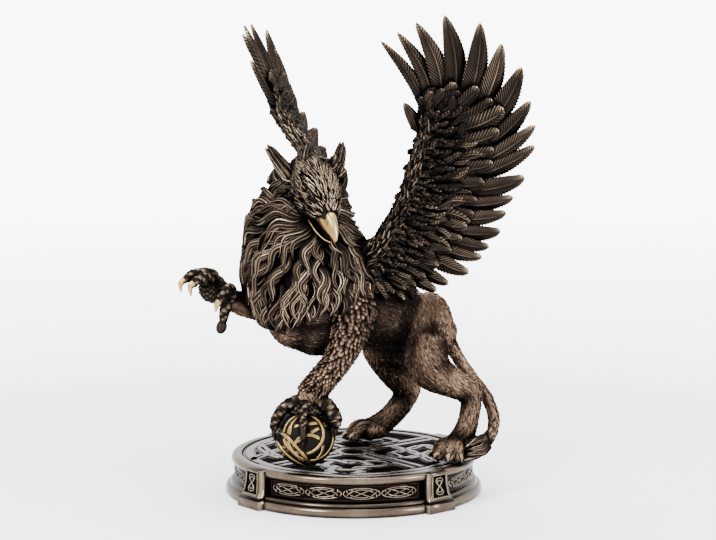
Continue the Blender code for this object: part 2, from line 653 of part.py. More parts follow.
def foot_shells():
    """Taloned fore feet: one spread over the orb, one raised and open."""
    shells = []
    palm = np.array([-19.8, -47.0, 58.5])
    over = ORB_R + ORB_BAND_LIFT
    for lon, end, thick, rise in ((-64, 18, 3.2, 1.4), (2, 14, 3.2, 0.0), (72, 24, 4.6, 2.0), (172, 24, 3.0, 0.0)):
        knuckle = orb_point(58, lon, over + thick + rise)
        middle = orb_point(36, lon, over + thick - 0.2 + rise * 0.5)
        last = orb_point(end + 4, lon, over + thick - 0.5)
        shells.append(limb([palm, knuckle, middle, last], [4.6, thick + 0.4, thick, thick - 0.5], up=(0, 1, 0.2),
                           sides=9))
        shells.append(claw(last, orb_point(end - 9, lon, over + 2.2), orb_point(end - 22, lon, over + 0.9), 2.1))
    # raised foot: broad palm, two long toes ahead, one bent toward the viewer, one hanging
    shells.append(ball((-71.0, -37.0, 114.4), (8.4, 4.6, 7.9), axis=(0.3, 0.1, 1)))
    shells.append(limb([(-64.8, -35.2, 109.5), (-70.8, -37.0, 115.5), (-71.8, -38.2, 121.0)], [5.4, 5.2, 3.6], sides=9))
    for path, tip in ((((-71.5, -38.0, 121.5), (-75.4, -42.7, 123.0), (-80.4, -46.6, 122.6), (-82.9, -48.0, 121.0)),
                       ((-86.0, -49.4, 118.4), (-85.9, -49.7, 113.8))),
                      (((-70.5, -40.0, 119.5), (-72.8, -45.0, 120.6), (-75.8, -49.0, 121.0), (-77.9, -50.6, 119.8)),
                       ((-80.6, -52.0, 117.4), (-80.5, -52.2, 112.4))),
                      (((-71.5, -35.5, 120.0), (-76.0, -34.5, 121.0), (-80.0, -34.5, 119.0), (-81.5, -35.0, 117.0)),
                       ((-83.6, -35.5, 114.6), (-83.0, -35.8, 110.6)))):
        shells.append(limb(path, [3.8, 3.3, 2.9, 2.4], sides=9))
        shells.append(claw(path[-1], tip[0], tip[1], 2.3))
    shells.append(limb([(-60.6, -37.5, 110.0), (-61.0, -43.0, 115.4), (-63.6, -46.8, 114.1), (-65.6, -47.8, 110.0)],
                       [3.4, 3.1, 2.8, 2.3], sides=9))
    shells.append(claw((-65.6, -47.8, 110.0), (-67.4, -48.6, 107.0), (-67.9, -48.6, 103.4), 2.0))
    shells.append(limb([(-62.9, -36.6, 109.8), (-64.7, -38.4, 103.0), (-65.4, -38.8, 98.6)], [4.0, 3.3, 2.6], sides=9))
    shells.append(ball((-66.6, -39.6, 94.0), (3.1, 3.1, 3.8), axis=(0.3, 0.1, 1), sides=10, rows=7))
    return shells


def tail_shells():
    path = [(50.5, 9.5, 83), (57.8, 8, 70.5), (66.4, 6.8, 59), (73.8, 4.4, 49.0), (76.9, -1.3, 39.0),
            (74.4, -8.6, 31.4), (69.2, -14.6, 27.0)]
    shells = [limb(path, [4.4, 3.6, 3.5, 3.5, 3.4, 3.4, 3.4], up=(0, 1, 0), sides=10, count=26)]
    for off in ((0, 0, 0), (1.8, -2.2, 1.2), (-1.6, 2.4, 0.8), (2.8, 0.8, -0.6)):
        o = np.array(off, float)
        tuft = np.array([(71.5, -12.5, 28.5), (67.5, -17.5, 27.5), (63.0, -23.0, 25.0), (57.5, -28.5, 23.0)]) + o
        shells.append(limb(tuft, [2.6, 3.6, 3.4, 0.7], sides=8, count=10))
    return shells


def make_griffin():
    shells = torso_shells() + mane_shells() + head_shells() + leg_shells() + foot_shells() + tail_shells()
    shells += wing_shells("near") + wing_shells("far")
    body = new_mesh("griffin", shells)
    voxels = body.modifiers.new("union", "REMESH")
    voxels.mode = "VOXEL"
    voxels.voxel_size = VOXEL * MM
    bake(body)
    keep_main_body(body)
    smooth = body.modifiers.new("smooth", "SMOOTH")
    smooth.factor = 0.5
    smooth.iterations = 2
    bake(body)
    reduce(body, GRIFFIN_TRIS)
    # cleared from the plinth top and from the orb
    box = [[(-150, -150, z), (150, -150, z), (150, 150, z), (-150, 150, z)] for z in (SOLE_Z - 40, SOLE_Z)]
    boolean(body, new_mesh("slab", [skin(box)]), "DIFFERENCE")
    hollow = ball(ORB_CENTRE, [ORB_R + ORB_BAND_LIFT + CLEARANCE + 0.3] * 3, sides=20, rows=13)
    boolean(body, new_mesh("hollow", [hollow]), "DIFFERENCE")
    keep_main_body(body)
    tidy(body, 0.005)
    return body


def main():
    for obj in list(bpy.data.objects):
        bpy.data.objects.remove(obj)
    make_plinth()
    make_orb()
    make_griffin()


main()
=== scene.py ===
"""Griffin statue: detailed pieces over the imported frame. Shapes are in millimetres until a mesh is made."""
import math

import bmesh
import bpy
import numpy as np
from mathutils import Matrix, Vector
from mathutils.bvhtree import BVHTree


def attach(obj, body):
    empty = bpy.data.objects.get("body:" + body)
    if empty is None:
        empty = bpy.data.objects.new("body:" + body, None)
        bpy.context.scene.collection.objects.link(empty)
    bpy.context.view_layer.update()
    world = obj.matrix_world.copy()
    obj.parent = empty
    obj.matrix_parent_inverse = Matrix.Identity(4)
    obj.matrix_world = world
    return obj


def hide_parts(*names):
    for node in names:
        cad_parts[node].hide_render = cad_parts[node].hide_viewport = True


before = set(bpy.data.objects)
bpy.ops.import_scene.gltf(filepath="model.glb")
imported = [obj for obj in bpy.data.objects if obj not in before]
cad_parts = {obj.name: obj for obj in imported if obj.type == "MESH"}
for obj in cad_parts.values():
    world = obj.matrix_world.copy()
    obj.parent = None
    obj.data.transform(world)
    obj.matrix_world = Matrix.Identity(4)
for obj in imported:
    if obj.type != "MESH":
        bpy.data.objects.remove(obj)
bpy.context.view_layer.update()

MM = 0.001

# Plinth
PANEL_R = 65.3
BAND_TOP_Z = 20.75
BRACKET_ANGLES = (45.0, 135.0, 225.0, 315.0)

# Orb under the near fore foot
ORB_R = 15.4
ORB_CENTRE = np.array([-21.2, -46.0, 37.6])
ORB_BAND_W = 1.85
# Each band is a circle on the orb: latitude and longitude of its pole, and its angular radius, degrees
ORB_BANDS = ((16, -70, 41), (19, 1, 42), (70, -147, 72), (11, 23, 52), (-14, 13, 29), (-38, -61, 54),
             (-50, 65, 81), (-48, -109, 57), (30, 150, 55), (-20, 190, 48))

SOLE_Z = 21.3
BODY_VOXEL = 1.0
PIECES = []


# Geometry

def unit(v):
    v = np.asarray(v, float)
    return v / np.maximum(np.linalg.norm(v, axis=-1, keepdims=True), 1e-9)


def spline(points, count):
    """Catmull-Rom curve through the points, sampled evenly by point index."""
    pts = np.asarray(points, float)
    ext = np.vstack([2 * pts[0] - pts[1], pts, 2 * pts[-1] - pts[-2]])
    at = np.linspace(0, len(pts) - 1, count)
    i = np.minimum(at.astype(int), len(pts) - 2)
    t = (at - i)[:, None]
    a, b, c, d = ext[i], ext[i + 1], ext[i + 2], ext[i + 3]
    return 0.5 * (2 * b + (c - a) * t + (2 * a - 5 * b + 4 * c - d) * t * t + (3 * b - a - 3 * c + d)
                  * t ** 3)


def even(path, count, *others):
    """The same curve with its points at equal distances, and the values that go with them."""
    path = np.asarray(path, float)
    run = np.concatenate([[0], np.cumsum(np.linalg.norm(np.diff(path, axis=0), axis=1))])
    at = np.linspace(0, run[-1], count)
    out = [np.stack([np.interp(at, run, c[:, k]) for k in range(c.shape[1])], 1) for c in (path, *others)]
    return out if others else out[0]


def frames(path, up):
    """Side and up vectors along a path, kept square to it."""
    tangents = unit(np.gradient(path, axis=0))
    side = unit(np.cross(tangents, np.asarray(up, float)))
    return side, np.cross(side, tangents)


def wander(p, scale, seed=0.0):
    """Smooth value between -1 and 1 that varies over about scale mm."""
    q = np.asarray(p, float) / scale
    s = seed * 1.7
    a = np.sin(q[..., 0] * 1.9 + 1.3 * np.sin(q[..., 1] * 1.3 + s) + s)
    b = np.sin(q[..., 1] * 2.1 + 1.1 * np.sin(q[..., 2] * 1.7 + 2 * s) + 2.1 * s)
    c = np.sin(q[..., 2] * 1.7 + 1.2 * np.sin(q[..., 0] * 1.5 + 3 * s) + 0.7 * s)
    return (a + b + c) / 3


class Shells:
    """Closed shells of one piece, with relief from 0 in a recess to 1 on a rubbed ridge."""

    def __init__(self):
        self.points = []
        self.relief = []
        self.quads = []
        self.tris = []
        self.count = 0

    def add(self, p, relief, wrap=True, caps=True, ring=False):
        """p is rows by columns of points, or shells by rows by columns. ring joins the last row to the first."""
        p = np.asarray(p, float)
        if p.ndim == 3:
            p = p[None]
        n, rows, cols = p.shape[:3]
        relief = np.broadcast_to(relief, (n, rows, cols))
        i = np.arange(rows if ring else rows - 1)[:, None]
        i2 = (i + 1) % rows
        j = np.arange(cols if wrap else cols - 1)[None, :]
        k = (j + 1) % cols
        local = np.stack([i * cols + j, i * cols + k, i2 * cols + k, i2 * cols + j], -1).reshape(-1, 4)
        flat = p.reshape(n, -1, 3)
        mid = flat.mean(axis=1, keepdims=True)
        a, b, c, d = (flat[:, local[:, m]] - mid for m in range(4))
        volume = (a * np.cross(b, c)).sum((1, 2)) + (a * np.cross(c, d)).sum((1, 2))
        base = self.count + np.arange(n)[:, None, None] * rows * cols
        quads = base + local[None]
        turned = volume < 0
        quads[turned] = quads[turned][:, :, ::-1]
        self.quads.append(quads.reshape(-1, 4))
        self.points.append(flat.reshape(-1, 3))
        self.relief.append(relief.reshape(-1))
        self.count += n * rows * cols
        if caps and wrap and not ring:
            for row, order in ((0, (0, 2, 1)), (rows - 1, (0, 1, 2))):
                centre = self.count + np.arange(n)[:, None]
                first = self.count - 0
                ring_start = base[:, 0, :] + row * cols
                around = np.arange(cols)[None, :]
                tri = np.stack([np.broadcast_to(centre, (n, cols)), ring_start + around,
                                ring_start + (around + 1) % cols], -1)
                tri = tri[..., list(order)]
                tri[turned] = tri[turned][:, :, ::-1]
                self.tris.append(tri.reshape(-1, 3))
                self.points.append(p[:, row].mean(axis=1))
                self.relief.append(relief[:, row].mean(axis=1))
                self.count = first + n
                base = base

    def add_sweep(self, path, normals, width, height, section, relief, ring=False):
        """Sweep a section of (across, up) pairs along a path; width and height may vary along it."""
        path = np.asarray(path, float)
        if ring:
            tangents = np.roll(path, -1, axis=0) - np.roll(path, 1, axis=0)
        else:
            tangents = np.gradient(path, axis=0)
        n = unit(normals)
        side = unit(np.cross(tangents, n))
        sec = np.asarray(section, float)
        w = np.broadcast_to(width, len(path))[:, None, None] / 2
        h = np.broadcast_to(height, len(path))[:, None, None]
        p = path[:, None, :] + side[:, None, :] * sec[None, :, :1] * w + n[:, None, :] * sec[None, :,
                                                                                             1:] * h
        self.add(p, relief, ring=ring)

    def object(self, name):
        verts = np.concatenate(self.points) * MM
        quads = np.concatenate(self.quads) if self.quads else np.zeros((0, 4), int)
        tris = np.concatenate(self.tris) if self.tris else np.zeros((0, 3), int)
        loops = np.concatenate([quads.ravel(), tris.ravel()]).astype(np.int32)
        starts = np.concatenate([np.arange(len(quads)) * 4, len(quads) * 4 + np.arange(len(tris)) * 3])
        mesh = bpy.data.meshes.new(name)
        mesh.vertices.add(len(verts))
        mesh.vertices.foreach_set("co", verts.ravel())
        mesh.loops.add(len(loops))
        mesh.loops.foreach_set("vertex_index", loops)
        mesh.polygons.add(len(starts))
        mesh.polygons.foreach_set("loop_start", starts.astype(np.int32))
        mesh.update(calc_edges=True)
        mesh.validate()
        layer = mesh.attributes.new("relief", "FLOAT", "POINT")
        layer.data.foreach_set("value", np.concatenate(self.relief).astype(np.float32))
        obj = bpy.data.objects.new(name, mesh)
        bpy.context.scene.collection.objects.link(obj)
        return obj


def tube(points, radii, up=(0, 0, 1), sides=14, count=None):
    """Rounded limb as rows by columns of points; radii are numbers or (across, along up) pairs."""
    pair = np.array([(r, r) if np.isscalar(r) else r for r in radii], float)
    count = count or 5 * len(points)
    path = spline(points, count)
    size = np.maximum(spline(pair, count), 0.25)
    side, lift = frames(path, up)
    angle = np.linspace(0, 2 * math.pi, sides, endpoint=False)
    tang = unit(np.gradient(path, axis=0))
    rings = (path[:, None] + side[:, None] * (np.cos(angle)[None, :, None] * size[:, None, :1])
             + lift[:, None] * (np.sin(angle)[None, :, None] * size[:, None, 1:]))
    front = [(rings[0] - path[0]) * s + path[0] - tang[0] * size[0].mean() * o for s,
             o in ((0.4, 0.92), (0.8, 0.6))]
    back = [(rings[-1] - path[-1]) * s + path[-1] + tang[-1] * size[-1].mean() * o for s,
            o in ((0.8, 0.6), (0.4, 0.92))]
    return np.concatenate([np.array(front), rings, np.array(back)])


def ball(centre, radii, axis=(0, 0, 1), up=(0, 1, 0), sides=24, rows=16):
    """Ellipsoid with its third radius along the axis."""
    w = unit(axis)
    u = unit(np.cross(up, w))
    v = np.cross(w, u)
    phi = np.linspace(0.05, math.pi - 0.05, rows)[:, None, None]
    th = np.linspace(0, 2 * math.pi, sides, endpoint=False)[None, :, None]
    return (np.asarray(centre, float) - w * radii[2] * np.cos(phi) + u * radii[0] * np.sin(phi) * np.cos(th)
            + v * radii[1] * np.sin(phi) * np.sin(th))


def shells_of(grids):
    s = Shells()
    for g in grids:
        s.add(g, 0.5)
    return s


def bake(obj):
    """Put the result of the object's modifiers into its own mesh."""
    graph = bpy.context.evaluated_depsgraph_get()
    graph.update()
    mesh = bpy.data.meshes.new_from_object(obj.evaluated_get(graph))
    obj.modifiers.clear()
    obj.data = mesh


def fuse(name, grids, voxel, smooth):
    """One skin round all the grids, by voxels of that size, smoothed that many times."""
    obj = shells_of(grids).object(name)
    union = obj.modifiers.new("union", "REMESH")
    union.mode = "VOXEL"
    union.voxel_size = voxel * MM
    bake(obj)
    if smooth:
        soft = obj.modifiers.new("soft", "SMOOTH")
        soft.factor = 0.5
        soft.iterations = smooth
        bake(obj)
    return obj


def read_points(obj):
    co = np.empty(len(obj.data.vertices) * 3, np.float32)
    obj.data.vertices.foreach_get("co", co)
    return co.reshape(-1, 3).astype(float) / MM


def write_points(obj, p):
    obj.data.vertices.foreach_set("co", (np.asarray(p) * MM).astype(np.float32).ravel())
    obj.data.update()


def read_normals(obj):
    n = np.empty(len(obj.data.vertices) * 3, np.float32)
    obj.data.vertex_normals.foreach_get("vector", n)
    return n.reshape(-1, 3).astype(float)


def read_edges(obj):
    e = np.empty(len(obj.data.edges) * 2, np.int32)
    obj.data.edges.foreach_get("vertices", e)
    return e.reshape(-1, 2)


def blur(values, edges, times):
    """Average each vertex with its neighbours."""
    values = np.asarray(values, float)
    n = len(values)
    degree = np.bincount(edges.ravel(), minlength=n).astype(float) + 1
    for _ in range(times):
        total = values.copy()
        for a, b in ((0, 1), (1, 0)):
            for k in range(values.shape[1]):
                total[:, k] += np.bincount(edges[:, a], weights=values[edges[:, b], k], minlength=n)
        values = total / degree[:, None]
    return values


def set_value(obj, name, values):
    layer = obj.data.attributes.get(name) or obj.data.attributes.new(name, "FLOAT", "POINT")
    layer.data.foreach_set("value", np.asarray(values, np.float32))


def get_value(obj, name):
    out = np.empty(len(obj.data.vertices), np.float32)
    obj.data.attributes[name].data.foreach_get("value", out)
    return out.astype(float)


def relief_from_form(obj, gain, base=0.45, times=5):
    """Relief of a fused skin from how far each point stands off its blurred surface."""
    p = read_points(obj)
    n = read_normals(obj)
    off = ((p - blur(p, read_edges(obj), times)) * n).sum(1)
    set_value(obj, "relief", np.clip(base + gain * off, 0, 1))


def finish_piece(obj, material, node):
    obj.data.materials.clear()
    obj.data.materials.append(material)
    obj.data.shade_smooth()
    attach(obj, "root")
    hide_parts(node)
    PIECES.append(obj)
    return obj


# Materials

def patina(name, steps, rough, grain, bump, metal=0.9, edge=0.35):
    """Metal whose colour follows its relief, darkened by how enclosed it is and how far it faces down: dark
    patina in recesses, and painted shade in recesses, between parts and on downward faces.

    steps are (relief, colour), rough is (recess, ridge), and edge is the brightness at a grazing view.
    """
    mat = bpy.data.materials.new(name)
    mat.use_nodes = True
    tree = mat.node_tree
    shader = tree.nodes["Principled BSDF"]

    def node(kind, **values):
        made = tree.nodes.new(kind)
        for key, value in values.items():
            if key in made.inputs.keys():
                made.inputs[key].default_value = value
            else:
                setattr(made, key, value)
        return made

    def maths(operation, a, b):
        made = tree.nodes.new("ShaderNodeMath")
        made.operation = operation
        for socket, value in zip(made.inputs, (a, b)):
            if isinstance(value, (int, float)):
                socket.default_value = value
            else:
                tree.links.new(value, socket)
        return made.outputs[0]

    coords = node("ShaderNodeTexCoord").outputs["Object"]
    relief = node("ShaderNodeAttribute", attribute_name="relief").outputs["Fac"]
    recess = node("ShaderNodeAttribute", attribute_name="hollow").outputs["Fac"]
    cloud = node("ShaderNodeTexNoise", Scale=55.0, Detail=4.0, Roughness=0.6)
    fine = node("ShaderNodeTexNoise", Scale=grain, Detail=3.0, Roughness=0.65)
    tree.links.new(coords, cloud.inputs["Vector"])
    tree.links.new(coords, fine.inputs["Vector"])
    level = maths("ADD", relief, maths("MULTIPLY", maths("SUBTRACT", cloud.outputs["Fac"], 0.5), 0.30))
    level = maths("ADD", level,
                  maths("MULTIPLY", maths("SUBTRACT", fine.outputs["Fac"], 0.5), 0.12 + 0.6 * bump))
    # subtract the enclosure value: dark patina in recesses, and painted shade between parts and on downward faces
    level = maths("SUBTRACT", level, recess)
    ramp = tree.nodes.new("ShaderNodeValToRGB")
    ramp.color_ramp.elements[0].position = steps[0][0]
    ramp.color_ramp.elements[0].color = (*steps[0][1], 1)
    ramp.color_ramp.elements[1].position = steps[-1][0]
    ramp.color_ramp.elements[1].color = (*steps[-1][1], 1)
    for at, colour in steps[1:-1]:
        ramp.color_ramp.elements.new(at).color = (*colour, 1)
    tree.links.new(level, ramp.inputs["Fac"])
    tree.links.new(ramp.outputs["Color"], shader.inputs["Base Color"])
    gloss = node("ShaderNodeMapRange")
    gloss.inputs["From Min"].default_value = 0.1
    gloss.inputs["From Max"].default_value = 0.9
    gloss.inputs["To Min"].default_value = rough[0]
    gloss.inputs["To Max"].default_value = rough[1]
    tree.links.new(level, gloss.inputs["Value"])
    tree.links.new(gloss.outputs["Result"], shader.inputs["Roughness"])
    shader.inputs["Metallic"].default_value = metal
    shader.inputs["Specular Tint"].default_value = (edge, edge * 0.98, edge * 0.96, 1)
    dents = node("ShaderNodeBump", Strength=bump, Distance=0.0006)
    tree.links.new(fine.outputs["Fac"], dents.inputs["Height"])
    tree.links.new(dents.outputs["Normal"], shader.inputs["Normal"])
    return mat


BRONZE = patina("bronze", ((0.02, (0.0014, 0.0012, 0.0011)), (0.36, (0.0060, 0.0043, 0.0034)),
                           (0.60, (0.030, 0.0205, 0.0140)), (0.82, (0.150, 0.108, 0.072)),
                           (1.0, (0.46, 0.355, 0.245))), (0.46, 0.27), 1500.0, 0.3)
COAT = patina("coat", ((0.02, (0.0016, 0.0012, 0.0011)), (0.40, (0.0080, 0.0050, 0.0037)),
                       (0.62, (0.046, 0.0285, 0.0192)), (0.84, (0.195, 0.124, 0.080)),
                       (1.0, (0.50, 0.345, 0.235))), (0.44, 0.27), 1100.0, 0.6)
GOLD = patina("gold", ((0.05, (0.012, 0.007, 0.002)), (0.35, (0.10, 0.058, 0.016)),
                       (0.62, (0.27, 0.175, 0.058)), (1.0, (0.56, 0.42, 0.19))),
              (0.42, 0.24), 900.0, 0.08, metal=0.95, edge=0.9)
ORB_GOLD = patina("orb_gold", ((0.05, (0.004, 0.0026, 0.001)), (0.40, (0.045, 0.027, 0.009)),
                               (0.66, (0.20, 0.132, 0.048)), (1.0, (0.60, 0.45, 0.20))),
                  (0.42, 0.22), 900.0, 0.08, metal=0.95, edge=0.9)
ORB_GROUND = patina("orb_ground", ((0.05, (0.001, 0.001, 0.001)), (0.5, (0.008, 0.0065, 0.0055)),
                                   (1.0, (0.06, 0.047, 0.033))), (0.45, 0.34), 1100.0, 0.5)
PLINTH = patina("plinth_metal", ((0.02, (0.0012, 0.0010, 0.0009)), (0.36, (0.0065, 0.0050, 0.0042)),
                                 (0.62, (0.034, 0.0245, 0.0180)), (0.84, (0.130, 0.096, 0.068)),
                                 (1.0, (0.31, 0.24, 0.175))), (0.36, 0.17), 700.0, 0.02, metal=1.0,
                edge=0.9)
PLINTH_FIELD = patina("plinth_field", ((0.02, (0.0014, 0.0012, 0.0010)), (0.5, (0.020, 0.0145, 0.0105)),
                                       (1.0, (0.08, 0.058, 0.042))), (0.42, 0.30), 700.0, 0.06, metal=1.0,
                      edge=0.26)
MOUTH = patina("mouth", ((0.2, (0.002, 0.001, 0.001)), (1.0, (0.02, 0.010, 0.008))), (0.5, 0.4), 900.0, 0.2)
EYE = patina("eye", ((0.2, (0.002, 0.0015, 0.0015)), (1.0, (0.03, 0.024, 0.016))), (0.25, 0.2), 900.0, 0.02)


# Wings

# Flight feathers in the wing's own plane (along the chord, up the span): root, tip, width.
FLIGHT = [
    ((27.5, 82), (-2.2, 120), 7.0), ((29.5, 84), (6, 126.2), 9), ((32, 88), (14.5, 134), 10.5),
    ((37, 92), (29, 140.8), 12), ((43, 92), (47.4, 141.5), 12), ((49.5, 90), (60.8, 132.8), 11.5),
    ((54, 84), (73, 122.8), 12.5), ((51, 72), (81, 105.4), 11), ((46, 64), (85, 93.3), 10),
    ((44, 58), (86.8, 81.6), 10), ((42, 51.5), (82.8, 63.9), 11.5), ((40, 43.5), (78, 51.5), 9),
    ((40, 36), (74.6, 42.8), 9), ((38, 29), (73, 31.3), 10), ((36, 25), (67, 22.2), 8.5),
    ((32, 20), (64, 15), 8.5), ((27, 16), (57, 5.4), 10), ((22, 9), (46.5, -3.4), 8.5),
    ((18, 4), (39.9, -8), 8), ((14, 1), (31, -13), 7.5), ((10, -1), (22.8, -17), 7),
    ((6, -2), (15, -19.5), 6.5), ((2, -3), (8, -20), 6), ((-2, -3), (1, -18), 6)]
# Leading edge of the arm and hand, from the shoulder up, and its radii.
EDGE = [(-3, -3), (1, 3), (8.5, 11.9), (11.5, 20.3), (14.9, 28.2), (18.6, 39.8), (20.6, 49), (21.9, 57),
        (23.1, 65.3),
        (24.2, 73.6), (25, 81), (23.5, 87)]
EDGE_RADII = [7.5, 6.2, 5.0, 4.2, 3.8, 3.5, 3.3, 3.2, 3.0, 2.8, 2.5, 2.0]
# Thick middle of the wing: line, half width and half thickness.
PLATE = [(4, -4), (16, 7), (26.2, 23), (32.5, 41.6), (36.3, 60), (37.5, 76), (36, 88)]
PLATE_SIZE = [(11, 5), (12.8, 4.6), (14.6, 4.2), (14.4, 3.8), (15.4, 3.4), (14.4, 3.0), (9, 2.4)]
# Where the coverts end, and the arm line they grow from, by flight feather number.
COVERT_END = [(24, 95), (29, 98), (34, 101), (39, 103), (50, 103), (58, 101), (64, 97), (62, 86), (60, 76),
              (58, 68), (56, 58), (54, 48), (52, 40), (50, 33), (47, 26), (43, 18), (37, 8), (31, 0),
              (26, -6),
              (21, -9), (15, -12), (10, -13), (5, -13), (0, -12)]
COVERT_ROOT = [(19, 86), (19.5, 84), (20, 82), (20.5, 80), (21, 77), (21, 74), (21, 71), (20.5, 67),
               (20, 62),
               (19, 57), (17.5, 51), (16.5, 46), (15, 40), (13, 34), (10.5, 28), (8, 22), (4, 15), (1, 9),
               (-1, 5), (-3, 3), (-4, 2), (-5, 1), (-6, 0), (-7, -1)]
# Tips that differ on the far wing, by flight feather number counted from 0.
FAR_TIPS = {4: (60.5, 149.5), 5: (60, 134), 6: (61, 120), 7: (60, 101), 8: (75, 91.5), 9: (82, 80.5),
            10: (87, 69),
            11: (82, 56)}
# Sideways bow of the foremost feathers, as a share of their length.
BEND = {0: 0.09, 1: 0.11, 2: 0.11, 3: 0.085}
# Thumb feather of each wing: root, tip, width.
THUMB = {"near": ((21, 77), (12.3, 91.5), 6.5), "far": ((22, 76), (-6.5, 99), 11)}

NEAR_ORIGIN = np.array([8.4, -25.4, 128.1])
NEAR_CHORD = np.array([0.9270, 0.3832, -0.2066])
NEAR_SPAN = np.array([0.1117, -0.3440, 0.9580])
FAR_ORIGIN = np.array([-28.3, -0.6, 155.0])
FAR_CHORD = np.array([0.2647, 0.8061, -0.2900])
FAR_SPAN = np.array([-0.3121, 0.3542, 0.7750])
FAR_SHOULDER_SHIFT = np.array([14.0, -3.0, -26.0])
FAR_ARM_TURN = 9.5
WING_CAMBER = 5.0


def wing_points(which, s, t, h):
    """Points of a wing: s along the chord, t up the span, h off the outer face."""
    s, t, h = (np.asarray(x, float)[..., None] for x in np.broadcast_arrays(s, t, h))
    bow = WING_CAMBER * (0.5 - ((s - 40) / 50) ** 2)
    if which == "near":
        normal = unit(np.cross(NEAR_CHORD, NEAR_SPAN))
        return NEAR_ORIGIN + NEAR_CHORD * s + NEAR_SPAN * t + normal * (h + bow)
    normal = -unit(np.cross(FAR_CHORD, FAR_SPAN))
    ease = np.clip((75 - t) / 75, 0.0, 1.3)
    turn = FAR_ARM_TURN * (80 - s) / 60 * np.clip((75 - t) / 25, 0, 1) * np.clip(0.6 + t / 125, 0.6, 1)
    shift = FAR_SHOULDER_SHIFT * ease ** 1.3 + turn * (1, 0, 0)
    return FAR_ORIGIN + FAR_CHORD * s + FAR_SPAN * t + normal * (h + bow) + shift


def wing_thickness(s, t):
    """Height of the wing's own mass off its middle plane."""
    plate = np.array(PLATE, float)
    size = np.array(PLATE_SIZE, float)
    edge = np.array(EDGE, float)
    centre = np.interp(t, plate[:, 1], plate[:, 0])
    half = np.interp(t, plate[:, 1], size[:, 0])
    thick = np.interp(t, plate[:, 1], size[:, 1])
    rim = np.interp(t, edge[:, 1], edge[:, 0])
    radius = np.interp(t, edge[:, 1], EDGE_RADII)
    body = thick * np.sqrt(np.clip(1 - ((s - centre) / half) ** 2, 0, 1))
    bar = radius * np.sqrt(np.clip(1 - ((s - rim) / radius) ** 2, 0, 1))
    return np.maximum(np.maximum(body, bar), 0.9)


def add_plumes(shells, which, root, tip, width, low, high, rows, face=0, bend=0.06, lean=1.1, twist=0.18,
               dome=0.8, shaft=0.5, barb=0.17, tone=0.0, dark=0.0, blunt=0.35):
    """Feathers with a shaft and slanted barbs. face 0 shows both sides, 1 or -1 only that one."""
    root, tip, width = np.asarray(root, float), np.asarray(tip, float), np.asarray(width, float)
    low, high, tone = (np.broadcast_to(x, len(root)).astype(float) for x in (low, high, tone))
    along = tip - root
    length = np.linalg.norm(along, axis=1)
    across = np.stack([along[:, 1], -along[:, 0]], 1) / length[:, None]
    if face == 0 or rows > 24:
        v = np.array([-1, -0.78, -0.5, -0.22, -0.08, 0, 0.08, 0.22, 0.5, 0.78, 1])
    else:
        v = np.array([-1, -0.5, -0.1, 0, 0.1, 0.5, 1])
    side = np.ones(len(v)) * (face or 1)
    if face == 0:
        back = v[1:-1][::-1]
        side = np.concatenate([side, -np.ones(len(back))])
        v = np.concatenate([v, back])
    u = np.linspace(0, 1, rows)[None, :, None]
    slant = (lean * width / 2 / length)[:, None, None] * np.abs(v) * np.minimum(1, (1 - u) * 4)
    uu = np.clip(u + slant, 0, 1)
    profile = 0.62 + 0.5 * np.sin(np.pi * np.minimum(uu * 0.66 + 0.12, 1)) ** 0.8
    taper = 1 - (1 - blunt) * (np.clip(uu - 0.5, 0, 1) / 0.5) ** 1.9
    cap = np.sqrt(np.clip(1 - (np.clip(uu - 0.92, 0, 1) / 0.0802) ** 2, 0.004, 1))
    groove = (np.arange(rows) % 2)[None, :, None]
    vane = np.minimum(1, np.abs(v) * 5 - 0.3).clip(0, 1)
    w = width[:, None, None] * profile * taper * cap * (1 - 0.09 * groove)
    centre = root[:, None, None] + along[:, None, None] * uu[..., None]
    st = centre + across[:, None, None] * (bend * length[:, None, None] * np.sin(np.pi * uu)
                                           + v * w / 2)[..., None]
    fade = np.minimum(1, (1 - uu) * 5)
    rise = dome * (1 - v ** 2) + shaft * np.exp(-(v / 0.07) ** 2) * fade + 0.28 * np.minimum(1,
                                                                                             (1 - uu) * 8)
    rise = rise - barb * groove * vane * fade
    h = low[:, None, None] + (high - low)[:, None, None] * uu
    h = h - twist * v * w / 2 + side * rise
    p = wing_points(which, st[..., 0], st[..., 1], h)
    relief = 0.14 + 0.62 * (1 - groove) * vane + 0.62 * np.exp(-(v / 0.08) ** 2) * fade + 0.14 * (np.abs(v) > 0.9)
    relief = relief + 0.40 * np.clip((uu - 0.80) / 0.20, 0, 1) ** 1.5 - 0.36 * np.clip((0.45 - uu) / 0.45,
                                                                                       0, 1) - dark
    shells.add(p, relief + tone[:, None, None])


def covert_rows(gap, level):
    """Start points and directions of a row of coverts, spaced by gap, at that level from arm (0) to end (1)."""
    x = np.linspace(0, 23, 400)
    a = np.stack([np.interp(x, range(24), np.array(COVERT_ROOT)[:, k]) for k in (0, 1)], 1)
    b = np.stack([np.interp(x, range(24), np.array(COVERT_END)[:, k]) for k in (0, 1)], 1)
    edge = np.array(EDGE, float)
    rim = np.interp(a[:, 1], edge[:, 1], edge[:, 0] - 0.72 * np.array(EDGE_RADII))
    a[:, 0] = np.where(a[:, 1] > 12, rim, np.maximum(a[:, 0], rim))
    p = a + (b - a) * level
    run = np.concatenate([[0], np.cumsum(np.linalg.norm(np.diff(p, axis=0), axis=1))])
    at = np.arange(gap * 0.3, run[-1], gap)
    start = np.stack([np.interp(at, run, p[:, k]) for k in (0, 1)], 1)
    way = unit(np.stack([np.interp(at, run, (b - a)[:, k]) for k in (0, 1)], 1))
    return start, way


